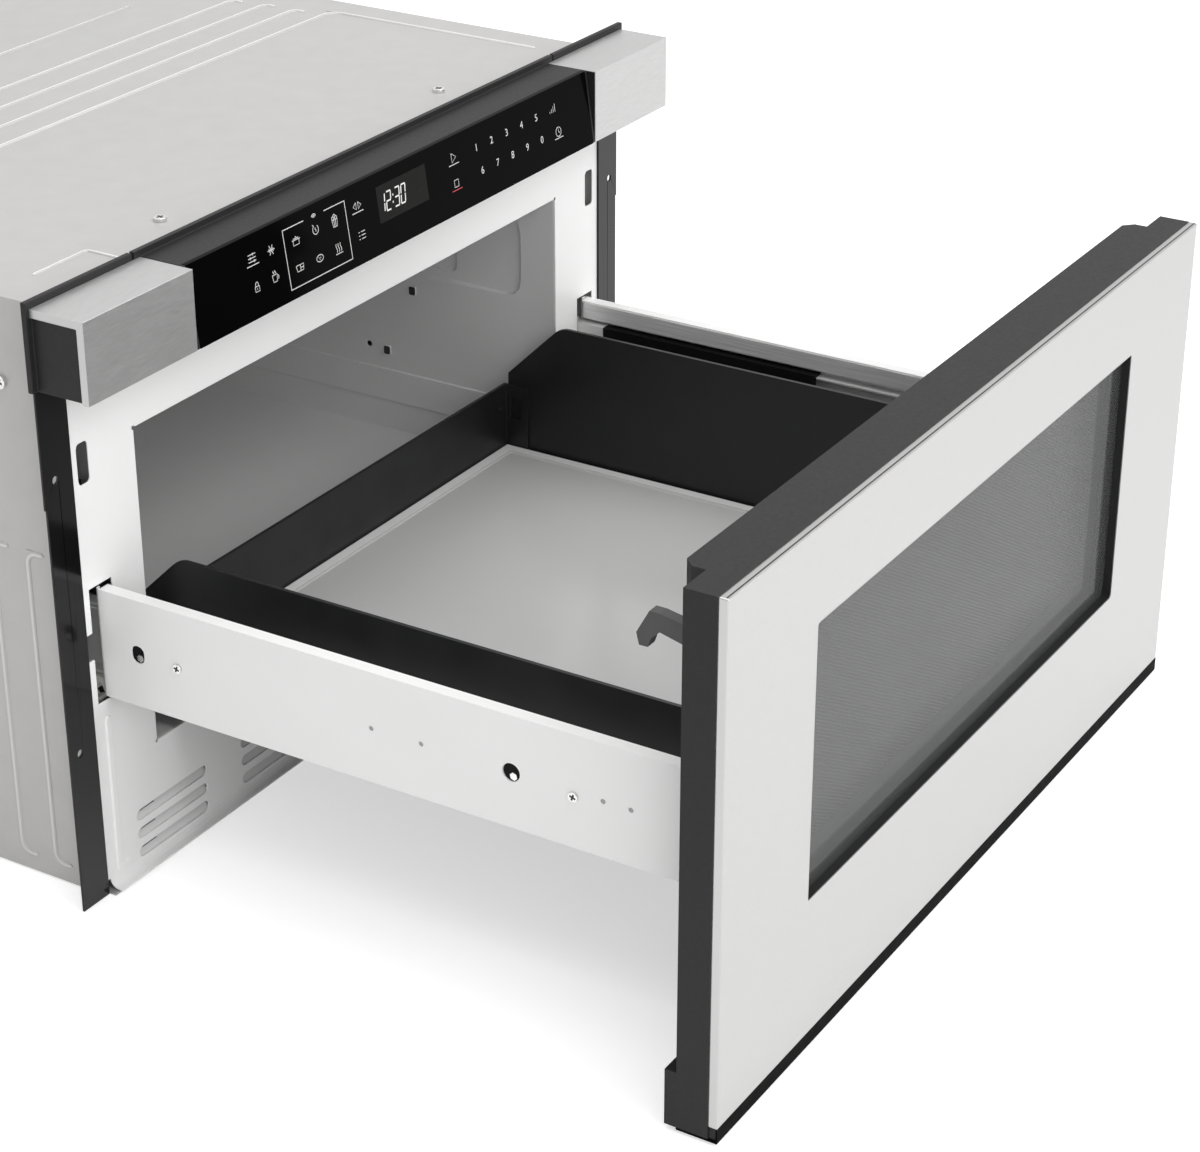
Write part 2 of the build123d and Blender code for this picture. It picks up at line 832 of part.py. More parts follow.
def mounting_strip():
    """Flat steel strip that the screws into the kitchen cabinet go through."""
    strip = block((strip_inner, strip_outer), (-strip_sheet, 0), (0, panel_bottom - case_gap))
    # The upper part is a little wider on the outside.
    strip += block((strip_outer - past, strip_outer + strip_step), (-strip_sheet, 0),
                   (panel_bottom - strip_step_drop, panel_bottom - case_gap))
    for z in (cabinet_screw_low, cabinet_screw_high):
        strip -= panel_y(Circle(cabinet_screw_radius), cabinet_screw_x, z, -strip_sheet - past, past)
    return strip


def end_block():
    """Plastic body under the steel end cap, with its share of the mounting flange."""
    inner = block_inner + cap_sheet / 2
    outer = block_outer - cap_overhang
    front = -panel_front + cap_sheet
    top = panel_top - cap_sheet
    body = block((inner, outer), (front, -flange_thickness), (panel_bottom, top))
    body -= block((inner + panel_wall, outer - panel_wall), (front + panel_wall, 1),
                  (panel_bottom + panel_wall, top - panel_wall))
    return body + block((flange_split + split_gap / 2, flange_width / 2), (-flange_thickness, 0),
                        (panel_bottom, flange_top))


def end_cap():
    """Brushed steel cap folded over the block's top and front, with a hem at the outer end."""
    depth = (-panel_front, -flange_thickness)
    across = (block_inner, block_outer)
    end = (block_outer - cap_sheet, block_outer)
    cap = block(across, depth, (panel_top - cap_sheet, panel_top))
    cap += block(across, (-panel_front, -panel_front + cap_sheet), (panel_bottom, panel_top))
    cap += block(end, depth, (panel_top - cap_hem, panel_top))
    return cap + block(end, (-panel_front, -panel_front + cap_hem), (panel_bottom, panel_top))


def slope_y(z, setback):
    """Where the panel's sloping front is at height z, moved back by setback."""
    return -panel_front + setback + panel_slope * (z - panel_bottom) / panel_height


def panel_housing():
    """Control panel housing: a shell with a sloping front, open behind, on its mounting flange."""
    half = block_inner - case_gap
    foot = (slope_y(panel_bottom, 0), panel_bottom)
    top = (slope_y(panel_top, 0), panel_top)
    back_edge = [(-flange_thickness, panel_top), (-flange_thickness, panel_bottom)]
    body = along_x([foot, top] + back_edge, -half, half)
    ends = (panel_bottom - past, panel_top + past)
    seat = [(-panel_front - past, ends[0]), (slope_y(ends[0], control_glass_thickness), ends[0]),
            (slope_y(ends[1], control_glass_thickness), ends[1]), (-panel_front - past, ends[1])]
    body -= along_x(seat, -control_glass_half, control_glass_half)
    body += block((-flange_split + split_gap / 2, flange_split - split_gap / 2), (-flange_thickness, 0),
                  (panel_bottom, flange_top))
    setback = control_glass_thickness + panel_wall
    low = panel_bottom + panel_wall
    high = panel_top - panel_wall
    hollow = [(slope_y(low, setback), low), (slope_y(high, setback), high), (1, high), (1, low)]
    body -= along_x(hollow, -half + panel_wall, half - panel_wall)
    return body - block((display_left, display_right), (-panel_front, -board_setback),
                        (display_bottom, display_top))


def control_glass():
    """Dark touch glass on the panel's sloping front."""
    outline = [(slope_y(z, setback), z) for z, setback in (
        (panel_bottom, 0), (panel_top, 0), (panel_top, control_glass_thickness),
        (panel_bottom, control_glass_thickness))]
    return along_x(outline, -control_glass_half, control_glass_half)


def control_board():
    """Circuit board across the housing, with its relays."""
    low = panel_bottom + panel_wall
    half = block_inner - case_gap - panel_wall
    back = -board_setback + board_thickness
    board = block((-half, half), (-board_setback, back), (low, panel_top - panel_wall))
    for x in relay_places:
        board += block((x - relay_width / 2, x + relay_width / 2), (back, -board_thickness),
                       (low + relay_rise, low + relay_rise + relay_height))
    return board


def display_module():
    """Clock display, on the board behind the glass."""
    setback = control_glass_thickness + display_gap
    low = display_bottom + display_gap
    high = display_top - display_gap
    outline = [(slope_y(low, setback), low), (slope_y(high, setback), high), (-board_setback, high),
               (-board_setback, low)]
    return along_x(outline, display_left + display_gap, display_right - display_gap)


# ---------------------------------------------------------------- Drawer front

def front_skin():
    """Brushed steel face of the drawer, folded back at its sides and top."""
    foot = door_bottom + trim_height
    fold = door_front + skin_return
    inner = door_half_width - skin_sheet
    skin = block((-door_half_width, door_half_width), (door_front, fold), (foot, door_top))
    skin -= block((-inner, inner), (frame_front, fold + past), (foot - past, door_top - skin_sheet))
    window = soft_rectangle(2 * window_half_width, window_height, window_radius)
    return skin - panel_y(window, 0, window_z, door_front - past, frame_front + past)


def bottom_trim():
    """Black angle strip along the foot of the drawer front."""
    across = (-door_half_width, door_half_width)
    trim = block(across, (door_front, frame_front), (door_bottom, door_bottom + trim_height))
    return trim + block(across, (frame_front, edge_back), (door_bottom, door_bottom + trim_sheet))


def door_frame():
    """Moulded body of the drawer front: a thin edge, a thick middle and a foot at each side."""
    low = door_bottom + trim_sheet
    fold = door_front + skin_return
    inside_skin = door_half_width - skin_sheet
    frame = block((-door_half_width, door_half_width), (fold, edge_back), (low, door_top))
    frame += block((-inside_skin, inside_skin), (frame_front, fold), (low, door_top - skin_sheet))
    shoulder = block_half_width - block_chamfer
    middle = [(-block_half_width, edge_back), (-block_half_width, block_back - block_chamfer),
              (-shoulder, block_back), (shoulder, block_back),
              (block_half_width, block_back - block_chamfer), (block_half_width, edge_back)]
    frame += along_z(middle, block_bottom, door_top)
    for side in (-1, 1):
        frame += block((side * door_half_width, side * block_half_width), (edge_back, foot_back),
                       (low, foot_height))
    behind = block_back + past
    frame -= panel_y(soft_rectangle(2 * window_half_width, window_height, window_radius), 0, window_z,
                     door_front - past, behind)
    frame -= panel_y(window_pane(0), 0, window_z, window_glass_front, behind)
    frame -= panel_y(choke_outline(0), 0, window_z, block_back - choke_depth, behind)
    # Pocket and pin bores for each latch hook.
    pocket_half = hook_width / 2 + hook_side_gap
    for side in (-1, 1):
        frame -= block((side * (hook_x - pocket_half), side * (hook_x + pocket_half)),
                       (hook_pivot_y - hook_pocket_depth, behind),
                       (hook_pivot_z - hook_pocket_below, hook_pivot_z + hook_pocket_above))
        reach = pocket_half + hook_pin_length
        frame -= panel_x(Circle(hook_pin_radius + axle_clearance), hook_pivot_y, hook_pivot_z,
                         side * (hook_x - reach), side * (hook_x + reach))
    return frame


def window_pane(gap):
    """Outline of the pane and the screen, which lie behind the window's edge."""
    return Rectangle(2 * (window_half_width + window_margin - gap),
                     window_height + 2 * (window_margin - gap))


def choke_outline(inset):
    return Rectangle(2 * (choke_half_width - inset), choke_top - choke_bottom - 2 * inset)


def window_glass():
    """Clear pane set back behind the opening in the steel face."""
    return panel_y(window_pane(0), 0, window_z,
                   window_glass_front, window_glass_front + window_glass_thickness)


def window_screen():
    """Perforated steel screen behind the pane; its fine holes are left to the finish."""
    return panel_y(window_pane(0), 0, window_z, screen_front, screen_front + screen_thickness)


def choke_panel():
    """Steel choke frame in the drawer front's back face, with a collar that clamps the screen."""
    plate = panel_y(choke_outline(0), 0, window_z, block_back - choke_sheet, block_back)
    plate += panel_y(choke_outline(0) - choke_outline(choke_rim), 0, window_z,
                     block_back - choke_depth, block_back)
    plate += panel_y(window_pane(choke_gap), 0, window_z, screen_front + screen_thickness, block_back)
    opening = Rectangle(2 * window_half_width, window_height)
    return plate - panel_y(opening, 0, window_z, screen_front - past, block_back + past)


# ---------------------------------------------------------------- Rails

def rail_cover(with_rack_notch):
    """White bent sheet over the slide: web, top flange and a rounded return at the rear."""
    height = (cover_bottom, cover_top)
    cover = block((cover_inner, cover_outer), (cover_front, cover_back), height)
    cover += block((cover_outer - cover_return, cover_outer),
                   (cover_back - cover_sheet, cover_back), height)
    corner = cover.edges().filter_by(Axis.Z).sort_by_distance((cover_outer, cover_back, rail_height))[0]
    cover = fillet(corner, cover_bend)
    cover += block((cover_outer - cover_flange, cover_outer), (cover_front, cover_back - cover_bend),
                   (cover_top - cover_sheet, cover_top))
    if with_rack_notch:
        cover -= block((cover_outer - cover_return - past, cover_inner - 0.1),
                       (cover_back - cover_return, cover_back + past),
                       (cover_bottom - past, rack_top + past))
    through = (cover_inner - past, cover_outer + past)
    cover -= panel_x(soft_rectangle(*cover_window), cover_back - cover_window_y, rail_height, *through)
    cover -= panel_x(disc(cover_hole_radius, large_edge_count), cover_back - cover_hole_y,
                     rail_height, *through)
    for distance, rise in cover_screw_places:
        cover -= panel_x(disc(screw_radius, small_edge_count), cover_back - distance,
                         rail_height + rise, *through)
    for distance in cover_dimples:
        cover -= panel_x(disc(cover_dimple_radius, small_edge_count), cover_back - distance, rail_height,
                         cover_outer - cover_dimple_depth, cover_outer + past)
    return cover


def cover_screws():
    """Small pan-head screws that hold each cover to its slide."""
    screws = []
    for distance, rise in cover_screw_places:
        place = (cover_back - distance, rail_height + rise)
        screw = panel_x(disc(cover_screw_head), *place, cover_outer, cover_outer + cover_screw_head_height)
        screws.append(screw + panel_x(disc(screw_radius, small_edge_count), *place, cover_inner, cover_outer))
    return Compound(children=screws + [other_side(screw) for screw in screws])


def slide_inner():
    """Moving slide member: a deep carrier rail under the cover with the inner ball tracks."""
    top = cover_top - cover_sheet
    lip = cover_outer - cover_flange - carrier_lip_gap
    back = cover_back - cover_sheet - carrier_back_gap
    depth = (cover_front, back)
    under_bend = (cover_front, back - cover_bend)
    rail = block((carrier_inner, cover_inner), depth, (rail_height - carrier_below, top))
    rail += block((lip, cover_inner), under_bend, (top - carrier_sheet, top))
    rail += block((lip, lip + slide_sheet), under_bend, (top - carrier_lip, top))
    tip = slide_inner_face + 2 * (slide_sheet + slide_gap) + slide_gap / 2
    step = 2 * (slide_sheet + slide_gap)
    for z in (slide_top - step - slide_sheet, slide_bottom + step):
        rail += block((tip, carrier_inner + bead_root), depth, (z, z + slide_sheet))
    return rail


def c_section(x_web, z0, z1, y0, y1):
    """An open C of slide sheet with its back at x_web and its flanges pointing outward."""
    section = block((x_web, x_web + slide_sheet), (y0, y1), (z0, z1))
    section += block((x_web, x_web + slide_reach), (y0, y1), (z1 - slide_sheet, z1))
    return section + block((x_web, x_web + slide_reach), (y0, y1), (z0, z0 + slide_sheet))


def slide_middle():
    """Middle slide member, which travels half as far as the drawer."""
    inset = slide_sheet + slide_gap
    return c_section(slide_inner_face + inset, slide_bottom + inset, slide_top - inset,
                     middle_slide_front, middle_slide_back)


def slide_outer():
    """Fixed slide member on the case's bracket."""
    return c_section(slide_inner_face, slide_bottom, slide_top, outer_slide_front, outer_slide_back)


def slide_bracket():
    """Steel channel that carries the fixed slide on the cavity's side wall."""
    low = slide_bottom - bracket_margin
    high = slide_top + bracket_margin
    depth = (bracket_front, outer_slide_back)
    bracket = block((bracket_inner_face, slide_inner_face), depth, (low, high))
    for z in (low, high - bracket_sheet):
        bracket += block((liner_outer, slide_inner_face), depth, (z, z + bracket_sheet))
    for y in bracket_slots:
        bracket -= panel_x(slot(*bracket_slot, hidden_corner_edge_count), y, (low + high) / 2,
                           bracket_inner_face - past, slide_inner_face + past)
    return bracket


# ---------------------------------------------------------------- Rack and pinion drive

def involute_point(base_radius, radius):
    """Point on an involute at the given radius, as (radius, angle) from the involute's start."""
    roll = math.sqrt(max(radius ** 2 / base_radius ** 2 - 1, 0))
    return radius, roll - math.atan(roll)


def pinion_outline():
    """Closed outline of the pinion, one tooth after the other, with a tooth gap facing up."""
    base_radius = pinion_radius * math.cos(math.radians(pressure_angle))
    tip = pinion_radius + gear_module * addendum_share
    root = pinion_radius - gear_module * dedendum_share
    half_tooth = math.pi / 2 / pinion_teeth - backlash / 2 / pinion_radius
    base_half = half_tooth + involute_point(base_radius, pinion_radius)[1]
    steps = [base_radius + (tip - base_radius) * k / 2 for k in range(3)]
    points = []
    for tooth in range(pinion_teeth):
        middle = math.pi / 2 + (tooth + 0.5) * 2 * math.pi / pinion_teeth
        flank = [(root, -base_half)]
        for step in steps:
            radius, angle = involute_point(base_radius, step)
            flank.append((radius, angle - base_half))
        flank += [(radius, -angle) for radius, angle in reversed(flank)]
        for radius, angle in flank:
            points.append((radius * math.cos(middle + angle), radius * math.sin(middle + angle)))
    return points


def drive_pinion():
    """Pinion and its axle, which leaves the gearbox towards the rail."""
    outer = -(carrier_inner - pinion_clearance)
    gear = along_x([(pinion_y + y, pinion_z + z) for y, z in pinion_outline()], outer, outer + pinion_width)
    gear += panel_x(Circle(axle_radius), pinion_y, pinion_z, outer, -bracket_inner_face + axle_depth)
    return gear + panel_x(disc(axle_radius + boss_wall), pinion_y, pinion_z, outer + pinion_width,
                          -bracket_inner_face - pinion_clearance)


def drive_rack():
    """Toothed bar along the foot of the left carrier rail."""
    slope = math.tan(math.radians(pressure_angle))
    tip_z = rack_pitch_height - gear_module * addendum_share
    root_z = rack_pitch_height + gear_module * dedendum_share
    half_pitch_width = rack_pitch / 4 - backlash / 2
    tip_half = half_pitch_width - (rack_pitch_height - tip_z) * slope
    root_half = half_pitch_width + (root_z - rack_pitch_height) * slope
    points = []
    # A rack tooth lies in the pinion's upper tooth gap; the count runs forward from the rear end.
    last = math.floor((rack_back - pinion_y) / rack_pitch)
    for tooth in range(rack_teeth):
        y = pinion_y + (last - tooth) * rack_pitch
        points += [(y + root_half, root_z), (y + tip_half, tip_z),
                   (y - tip_half, tip_z), (y - root_half, root_z)]
    front = points[-1][0] - rack_start
    back = rack_back + rack_end
    points += [(front, root_z), (front, rack_top), (back, rack_top), (back, root_z)]
    return along_x(points, -carrier_inner, -carrier_inner + pinion_width + 2 * pinion_clearance)


def drive_gearbox():
    """Gearbox on the base pan beside the cavity, with the bearing bore of the pinion's axle."""
    outer = -bracket_inner_face
    inner = outer + gearbox_width
    foot_top = base_sheet + gearbox_foot_sheet
    outline = [(gearbox_front, foot_top), (gearbox_back, foot_top),
               (gearbox_back, pinion_z - gearbox_step_below),
               (gearbox_step, pinion_z + gearbox_above), (gearbox_front, pinion_z + gearbox_above)]
    box = along_x(outline, outer, inner)
    box += block((outer, inner), (gearbox_front, gearbox_back + gearbox_foot), (base_sheet, foot_top))
    return box - panel_x(Circle(axle_radius + axle_clearance), pinion_y, pinion_z,
                         outer - past, outer + axle_depth + past)


def drive_motor():
    """Motor that opens and closes the drawer, flanged to the gearbox under the cavity."""
    face = -bracket_inner_face + gearbox_width
    end = face + motor_length
    length, height, sheet = motor_plate
    motor = panel_x(disc(motor_radius, large_edge_count), motor_y, motor_axis_height, face, end)
    motor += panel_x(disc(motor_boss[0]), motor_y, motor_axis_height, end, end + motor_boss[1])
    return motor + panel_x(Rectangle(length, height), motor_y, motor_axis_height, face, face + sheet)


# ---------------------------------------------------------------- Bin

def bin_side():
    """Dark steel side wall with its rear corner sloped down to the low back wall."""
    outline = [(block_back, bin_bottom), (bin_side_back, bin_bottom),
               (bin_side_back, bin_back_top + bin_slope_rise),
               (bin_slope_start, bin_top), (block_back, bin_top)]
    wall = along_x(outline, bin_inside, bin_half_width)
    corner = wall.edges().filter_by(Axis.X).sort_by_distance((bin_inside, bin_slope_start, bin_top))[0]
    return fillet(corner, bin_slope_radius)


def bin_rear():
    """Low back wall whose ends return along the insides of the side walls."""
    inner_face = bin_back - bin_wall
    height = (bin_bottom, bin_back_top)
    wall = block((-bin_inside, bin_inside), (inner_face, bin_back), height)
    window_y = (bin_back - corner_window[1], bin_back - corner_window[0])
    window_heights = (bin_back_top - corner_window_drop[0], bin_back_top - corner_window_drop[1])
    for side in (-1, 1):
        wall += block((side * bin_inside, side * bin_half_width), (bin_side_back, bin_back),
                      (bin_bottom, bin_back_top - corner_step))
        wall += block((side * bin_inside, side * (bin_inside - corner_sheet)),
                      (bin_back - corner_return, bin_back), height)
        wall -= block((side * (bin_inside - 2 * corner_sheet), side * (bin_inside + past)), window_y,
                      window_heights)
        wall -= panel_y(disc(rear_hole_radius, small_edge_count), side * (bin_inside - rear_hole_inset),
                        bin_back_top - rear_hole_drop, inner_face - past, bin_back + past)
    return wall


def bin_floor_pan():
    """Steel pan under the ceramic floor, with stiffening flanges turned down."""
    half = bin_inside - corner_sheet
    pan = block((-half, half), (block_back, bin_side_back - pan_gap),
                (floor_bottom - pan_sheet, floor_bottom))
    flange_end = bin_back - corner_return - floor_gap
    for side in (-1, 1):
        pan += block((side * half, side * (half - pan_sheet)), (block_back, flange_end),
                     (bin_bottom, floor_bottom))
    return pan + block((-pan_brace_half, pan_brace_half), (pan_brace_y, pan_brace_y + pan_sheet),
                       (bin_bottom, floor_bottom))


def ceramic_floor():
    """White ceramic floor of the bin, dished inside a raised rim."""
    half = bin_inside - corner_sheet - floor_gap
    front = block_back + floor_gap
    back = bin_back - bin_wall - floor_gap
    plate = block((-half, half), (front, back), (floor_bottom, floor_top))
    return plate - block((-half + floor_rim, half - floor_rim), (front + floor_rim, back - floor_rim),
                         (floor_top - floor_dish, floor_top + past))


# ---------------------------------------------------------------- Latch hooks and switches

def latch_hook():
    """Plastic hook that swings on a pin inside the drawer front."""
    x0 = hook_x - hook_width / 2
    x1 = hook_x + hook_width / 2
    tip = hook_pivot_y + hook_reach
    crest = hook_pivot_z + hook_rise
    claw = [(hook_pivot_y, hook_pivot_z + hook_boss_radius),
            (hook_pivot_y + hook_neck, crest),
            (hook_pivot_y + hook_neck + hook_nose, crest),
            (tip, hook_pivot_z - hook_drop / 3),
            (tip - hook_claw / 3, hook_pivot_z - hook_drop),
            (tip - hook_claw * 4 / 3, hook_pivot_z - hook_drop),
            (tip - hook_claw * 5 / 3, hook_pivot_z - hook_drop / 2),
            (hook_pivot_y + hook_neck, hook_pivot_z),
            (hook_pivot_y, hook_pivot_z - hook_boss_radius)]
    hook = along_x(claw, x0, x1)
    hook += panel_x(disc(hook_boss_radius, large_edge_count), hook_pivot_y, hook_pivot_z, x0, x1)
    reach = hook_side_gap + hook_pin_length - hook_pin_end_gap
    return hook + panel_x(Circle(hook_pin_radius), hook_pivot_y, hook_pivot_z, x0 - reach, x1 + reach)


def latch_bracket():
    """Bracket behind the front plate that carries the interlock switches beside the hook's path."""
    outer = latch_plate_x + latch_plate_sheet
    low = hook_pivot_z - latch_plate_below
    height = (low, hook_pivot_z + latch_plate_above)
    bracket = block((latch_plate_x, outer), (plate_sheet, latch_plate_depth), height)
    bracket += block((outer - latch_plate_flange, outer),
                     (plate_sheet, plate_sheet + latch_plate_sheet), height)
    return bracket + block((latch_plate_x, latch_plate_x + latch_shelf_width),
                           (latch_shelf_front, latch_plate_depth), (low, low + latch_plate_sheet))


def interlock_switches():
    """Micro switches above and below each hook's path, with their levers."""
    face = latch_plate_x + latch_plate_sheet
    width, length, height = lever_size
    lever_x = (face + (switch_width - width) / 2, face + (switch_width + width) / 2)
    lever_y = (switch_front + lever_front, switch_front + lever_front + length)
    below = hook_pivot_z - switch_below
    above = hook_pivot_z + switch_above
    switches = []
    for near, away in ((below, -1), (above, 1)):
        body = block((face, face + switch_width), (switch_front, switch_front + switch_length),
                     (near, near + away * switch_height))
        switches.append(body + block(lever_x, lever_y, (near, near - away * height)))
    return Compound(children=switches + [other_side(switch) for switch in switches])


# ---------------------------------------------------------------- Microwave source and stirrer

def waveguide():
    """Rectangular duct over the cavity from the magnetron to the port."""
    front = port_y - guide_half_width
    inside = guide_half_width - guide_sheet
    floor = liner_top + guide_sheet
    duct = block((-guide_half_width, guide_half_width), (front, guide_back), (liner_top, guide_ceiling))
    duct -= block((-inside, inside), (front + guide_sheet, guide_back - guide_sheet),
                  (floor, guide_ceiling - guide_sheet))
    duct -= panel_z(disc(port_radius, port_edge_count), 0, port_y, liner_top - past, floor + past)
    duct -= panel_z(disc(antenna_radius + antenna_gap), 0, magnetron_y, liner_top - past, floor + past)
    return duct - panel_z(disc(stirrer_axle_radius + guide_hole_gap), 0, port_y,
                          guide_ceiling - guide_sheet - past,
                          guide_ceiling + past)


def stirrer():
    """Three-bladed metal stirrer on its axle."""
    z = liner_top + guide_sheet + stirrer_rise
    hub_radius, hub_height = stirrer_hub
    fan = panel_z(disc(hub_radius), 0, port_y, z, z + hub_height)
    width, sheet = stirrer_blade
    outline = Pos(stirrer_radius / 2, 0, 0) * Rectangle(stirrer_radius, width)
    blade = Rot(stirrer_pitch, 0, 0) * extrude(outline, sheet)
    for k in range(stirrer_blades):
        fan += Pos(0, port_y, z + sheet) * Rot(0, 0, 360 / stirrer_blades * k) * blade
    return fan + panel_z(Circle(stirrer_axle_radius), 0, port_y, z, guide_ceiling + stirrer_axle_depth)


def stirrer_motor():
    """Flat synchronous motor on the duct."""
    width, length, sheet = stirrer_motor_ears
    motor = panel_z(disc(stirrer_motor_radius, large_edge_count), 0, port_y,
                    guide_ceiling, guide_ceiling + stirrer_motor_height)
    motor += panel_z(Rectangle(width, length), 0, port_y, guide_ceiling, guide_ceiling + sheet)
    return motor - panel_z(Circle(stirrer_axle_radius + axle_clearance), 0, port_y, guide_ceiling - past,
                           guide_ceiling + stirrer_axle_depth + past)


def magnetron():
    """Magnetron: yoke, cooling fins and antenna, hung under the duct."""
    half = magnetron_width / 2
    front = magnetron_y - magnetron_depth / 2
    back = magnetron_y + magnetron_depth / 2
    side_sheet, end_sheet = magnetron_yoke
    yoke = block((-half, half), (front, back), (magnetron_bottom, liner_top))
    yoke -= block((-half + side_sheet, half - side_sheet), (front - past, back + past),
                  (magnetron_bottom + end_sheet, liner_top - end_sheet))
    pitch = (magnetron_height - 2 * end_sheet) / (fin_count + 1)
    for k in range(fin_count):
        z = magnetron_bottom + end_sheet + pitch * (k + 1)
        yoke += block((-half, half), (front + fin_setback, back - fin_setback),
                      (z - fin_thickness / 2, z + fin_thickness / 2))
    yoke += panel_z(disc(magnetron_core, yoke_edge_count), 0, magnetron_y, magnetron_bottom, liner_top)
    yoke += panel_z(disc(antenna_radius), 0, magnetron_y, liner_top, liner_top + antenna_height)
    width, depth = magnetron_box
    return yoke + panel_z(Rectangle(width, width), 0, magnetron_y,
                          magnetron_bottom - depth, magnetron_bottom)


# ---------------------------------------------------------------- Power supply and cooling

def transformer_core():
    """Laminated core with two windows for its windings, bolted to the base pan by its feet."""
    width, depth, height = transformer_size
    across = (transformer_y - depth / 2, transformer_y + depth / 2)
    core = block((transformer_x - width / 2, transformer_x + width / 2), across,
                 (base_sheet, base_sheet + height))
    window_width, low, high = transformer_window
    centre = (transformer_limb + window_width) / 2
    for x in (transformer_x - centre, transformer_x + centre):
        core -= block((x - window_width / 2, x + window_width / 2), (across[0] - past, across[1] + past),
                      (base_sheet + low, base_sheet + high))
    length, sheet = transformer_foot
    return core + block((transformer_x - length / 2, transformer_x + length / 2), across,
                        (base_sheet, base_sheet + sheet))


def transformer_windings():
    """Primary and secondary coils round the core's middle limb."""
    limb = Rectangle(transformer_limb + 2 * coil_gap, transformer_size[1] + 2 * coil_gap)
    coil = soft_rectangle(*coil_size, coil_radius) - limb
    return Compound(children=[
        panel_z(coil, transformer_x, transformer_y, base_sheet + low, base_sheet + high)
        for low, high in coil_heights])


def high_voltage_capacitor():
    """Flat oval capacitor in its strap, with two terminals."""
    length, width, height = capacitor_size
    strap_length, strap_width, strap_sheet = capacitor_strap
    top = base_sheet + height
    can = panel_z(slot(length, width), capacitor_x, capacitor_y, base_sheet, top)
    can += panel_z(Rectangle(strap_length, strap_width), capacitor_x, capacitor_y,
                   base_sheet, base_sheet + strap_sheet)
    for side in (-1, 1):
        terminal_x = capacitor_x + side * terminal_spacing / 2
        can += panel_z(disc(terminal_radius, small_edge_count), terminal_x, capacitor_y,
                       top, top + terminal_height)
    return can


def fan_shroud():
    """Square fan frame on the back panel, with struts to the motor."""
    front = back_inside - fan_frame_depth
    outline = soft_rectangle(fan_frame, fan_frame, fan_frame_radius)
    frame = panel_y(outline, fan_x, fan_z, front, back_inside)
    bore = disc(fan_radius + fan_gap, shroud_edge_count)
    frame -= panel_y(bore, fan_x, fan_z, front - past, back_inside + past)
    for angle in (45, 135):
        strut = Rectangle(fan_frame - 2 * strut_sheet, strut_width, rotation=angle)
        frame += panel_y(strut, fan_x, fan_z, front, front + strut_sheet)
    return frame - panel_y(disc(fan_axle_radius + strut_sheet), fan_x, fan_z,
                           front - past, front + strut_sheet + past)


def fan_motor():
    """Shaded-pole motor behind the fan blade, held by the shroud's struts."""
    face = back_inside - fan_frame_depth
    motor = panel_y(soft_rectangle(fan_motor_size, fan_motor_size, fan_frame_radius), fan_x, fan_z,
                    face - fan_motor_depth, face)
    return motor - panel_y(Circle(fan_axle_radius + axle_clearance), fan_x, fan_z,
                           face - fan_axle_depth - past, face + past)


def fan_blade():
    """Axial fan with pitched blades on its axle."""
    back = back_inside - fan_blade_setback
    front = back - fan_blade_depth
    fan = panel_y(disc(fan_hub_radius), fan_x, fan_z, front, back)
    length, sheet, width = fan_blade_size
    place = Rot(fan_blade_pitch, 0, 0) * Pos(fan_hub_radius + length / 2 - blade_root, 0, 0)
    blade = place * Box(length, sheet, width)
    for k in range(fan_blades):
        fan += Pos(fan_x, (front + back) / 2, fan_z) * Rot(0, 360 / fan_blades * k, 0) * blade
    fan &= panel_y(disc(fan_radius, fan_edge_count), fan_x, fan_z, front, back)
    # The axle ends inside the motor and clears the crossed struts through their middle.
    return fan + panel_y(Circle(fan_axle_radius), fan_x, fan_z,
                         back_inside - fan_frame_depth - fan_axle_depth, front)


# ---------------------------------------------------------------- The parts

os.makedirs("parts", exist_ok=True)

save("outer_case", outer_case())
save("case_screws", case_screws())
save("base_pan", base_pan())
save("rear_panel", rear_panel())
save("cord_grommet", cord_grommet())
save("front_plate", front_plate())
save("cavity_liner", cavity_liner())
save("stirrer_cover", stirrer_cover())
save("cavity_lamp", cavity_lamp())
save_pair("mounting_strip", mounting_strip())
save_pair("end_block", end_block())
save_pair("end_cap", end_cap())
save("panel_housing", panel_housing())
save("control_glass", control_glass())
save("control_board", control_board())
save("display_module", display_module())
save("front_skin", front_skin())
save("bottom_trim", bottom_trim())
save("door_frame", door_frame())
save("window_glass", window_glass())
save("window_screen", window_screen())
save("choke_panel", choke_panel())
save("rail_cover_right", rail_cover(False))
save("rail_cover_left", other_side(rail_cover(True)))
save("cover_screws", cover_screws())
save_pair("slide_inner", slide_inner())
save_pair("slide_middle", slide_middle())
save_pair("slide_outer", slide_outer())
save_pair("slide_bracket", slide_bracket())
save("drive_pinion", drive_pinion())
save("drive_rack", drive_rack())
save("drive_gearbox", drive_gearbox())
save("drive_motor", drive_motor())
save_pair("bin_wall", bin_side())
save("bin_rear_wall", bin_rear())
save("bin_floor_pan", bin_floor_pan())
save("ceramic_floor", ceramic_floor())
save_pair("latch_hook", latch_hook())
save_pair("latch_bracket", latch_bracket())
save("interlock_switches", interlock_switches())
save("waveguide", waveguide())
save("stirrer", stirrer())
save("stirrer_motor", stirrer_motor())
save("magnetron", magnetron())
save("transformer_core", transformer_core())
save("transformer_windings", transformer_windings())
save("high_voltage_capacitor", high_voltage_capacitor())
save("fan_shroud", fan_shroud())
save("fan_motor", fan_motor())
save("fan_blade", fan_blade())
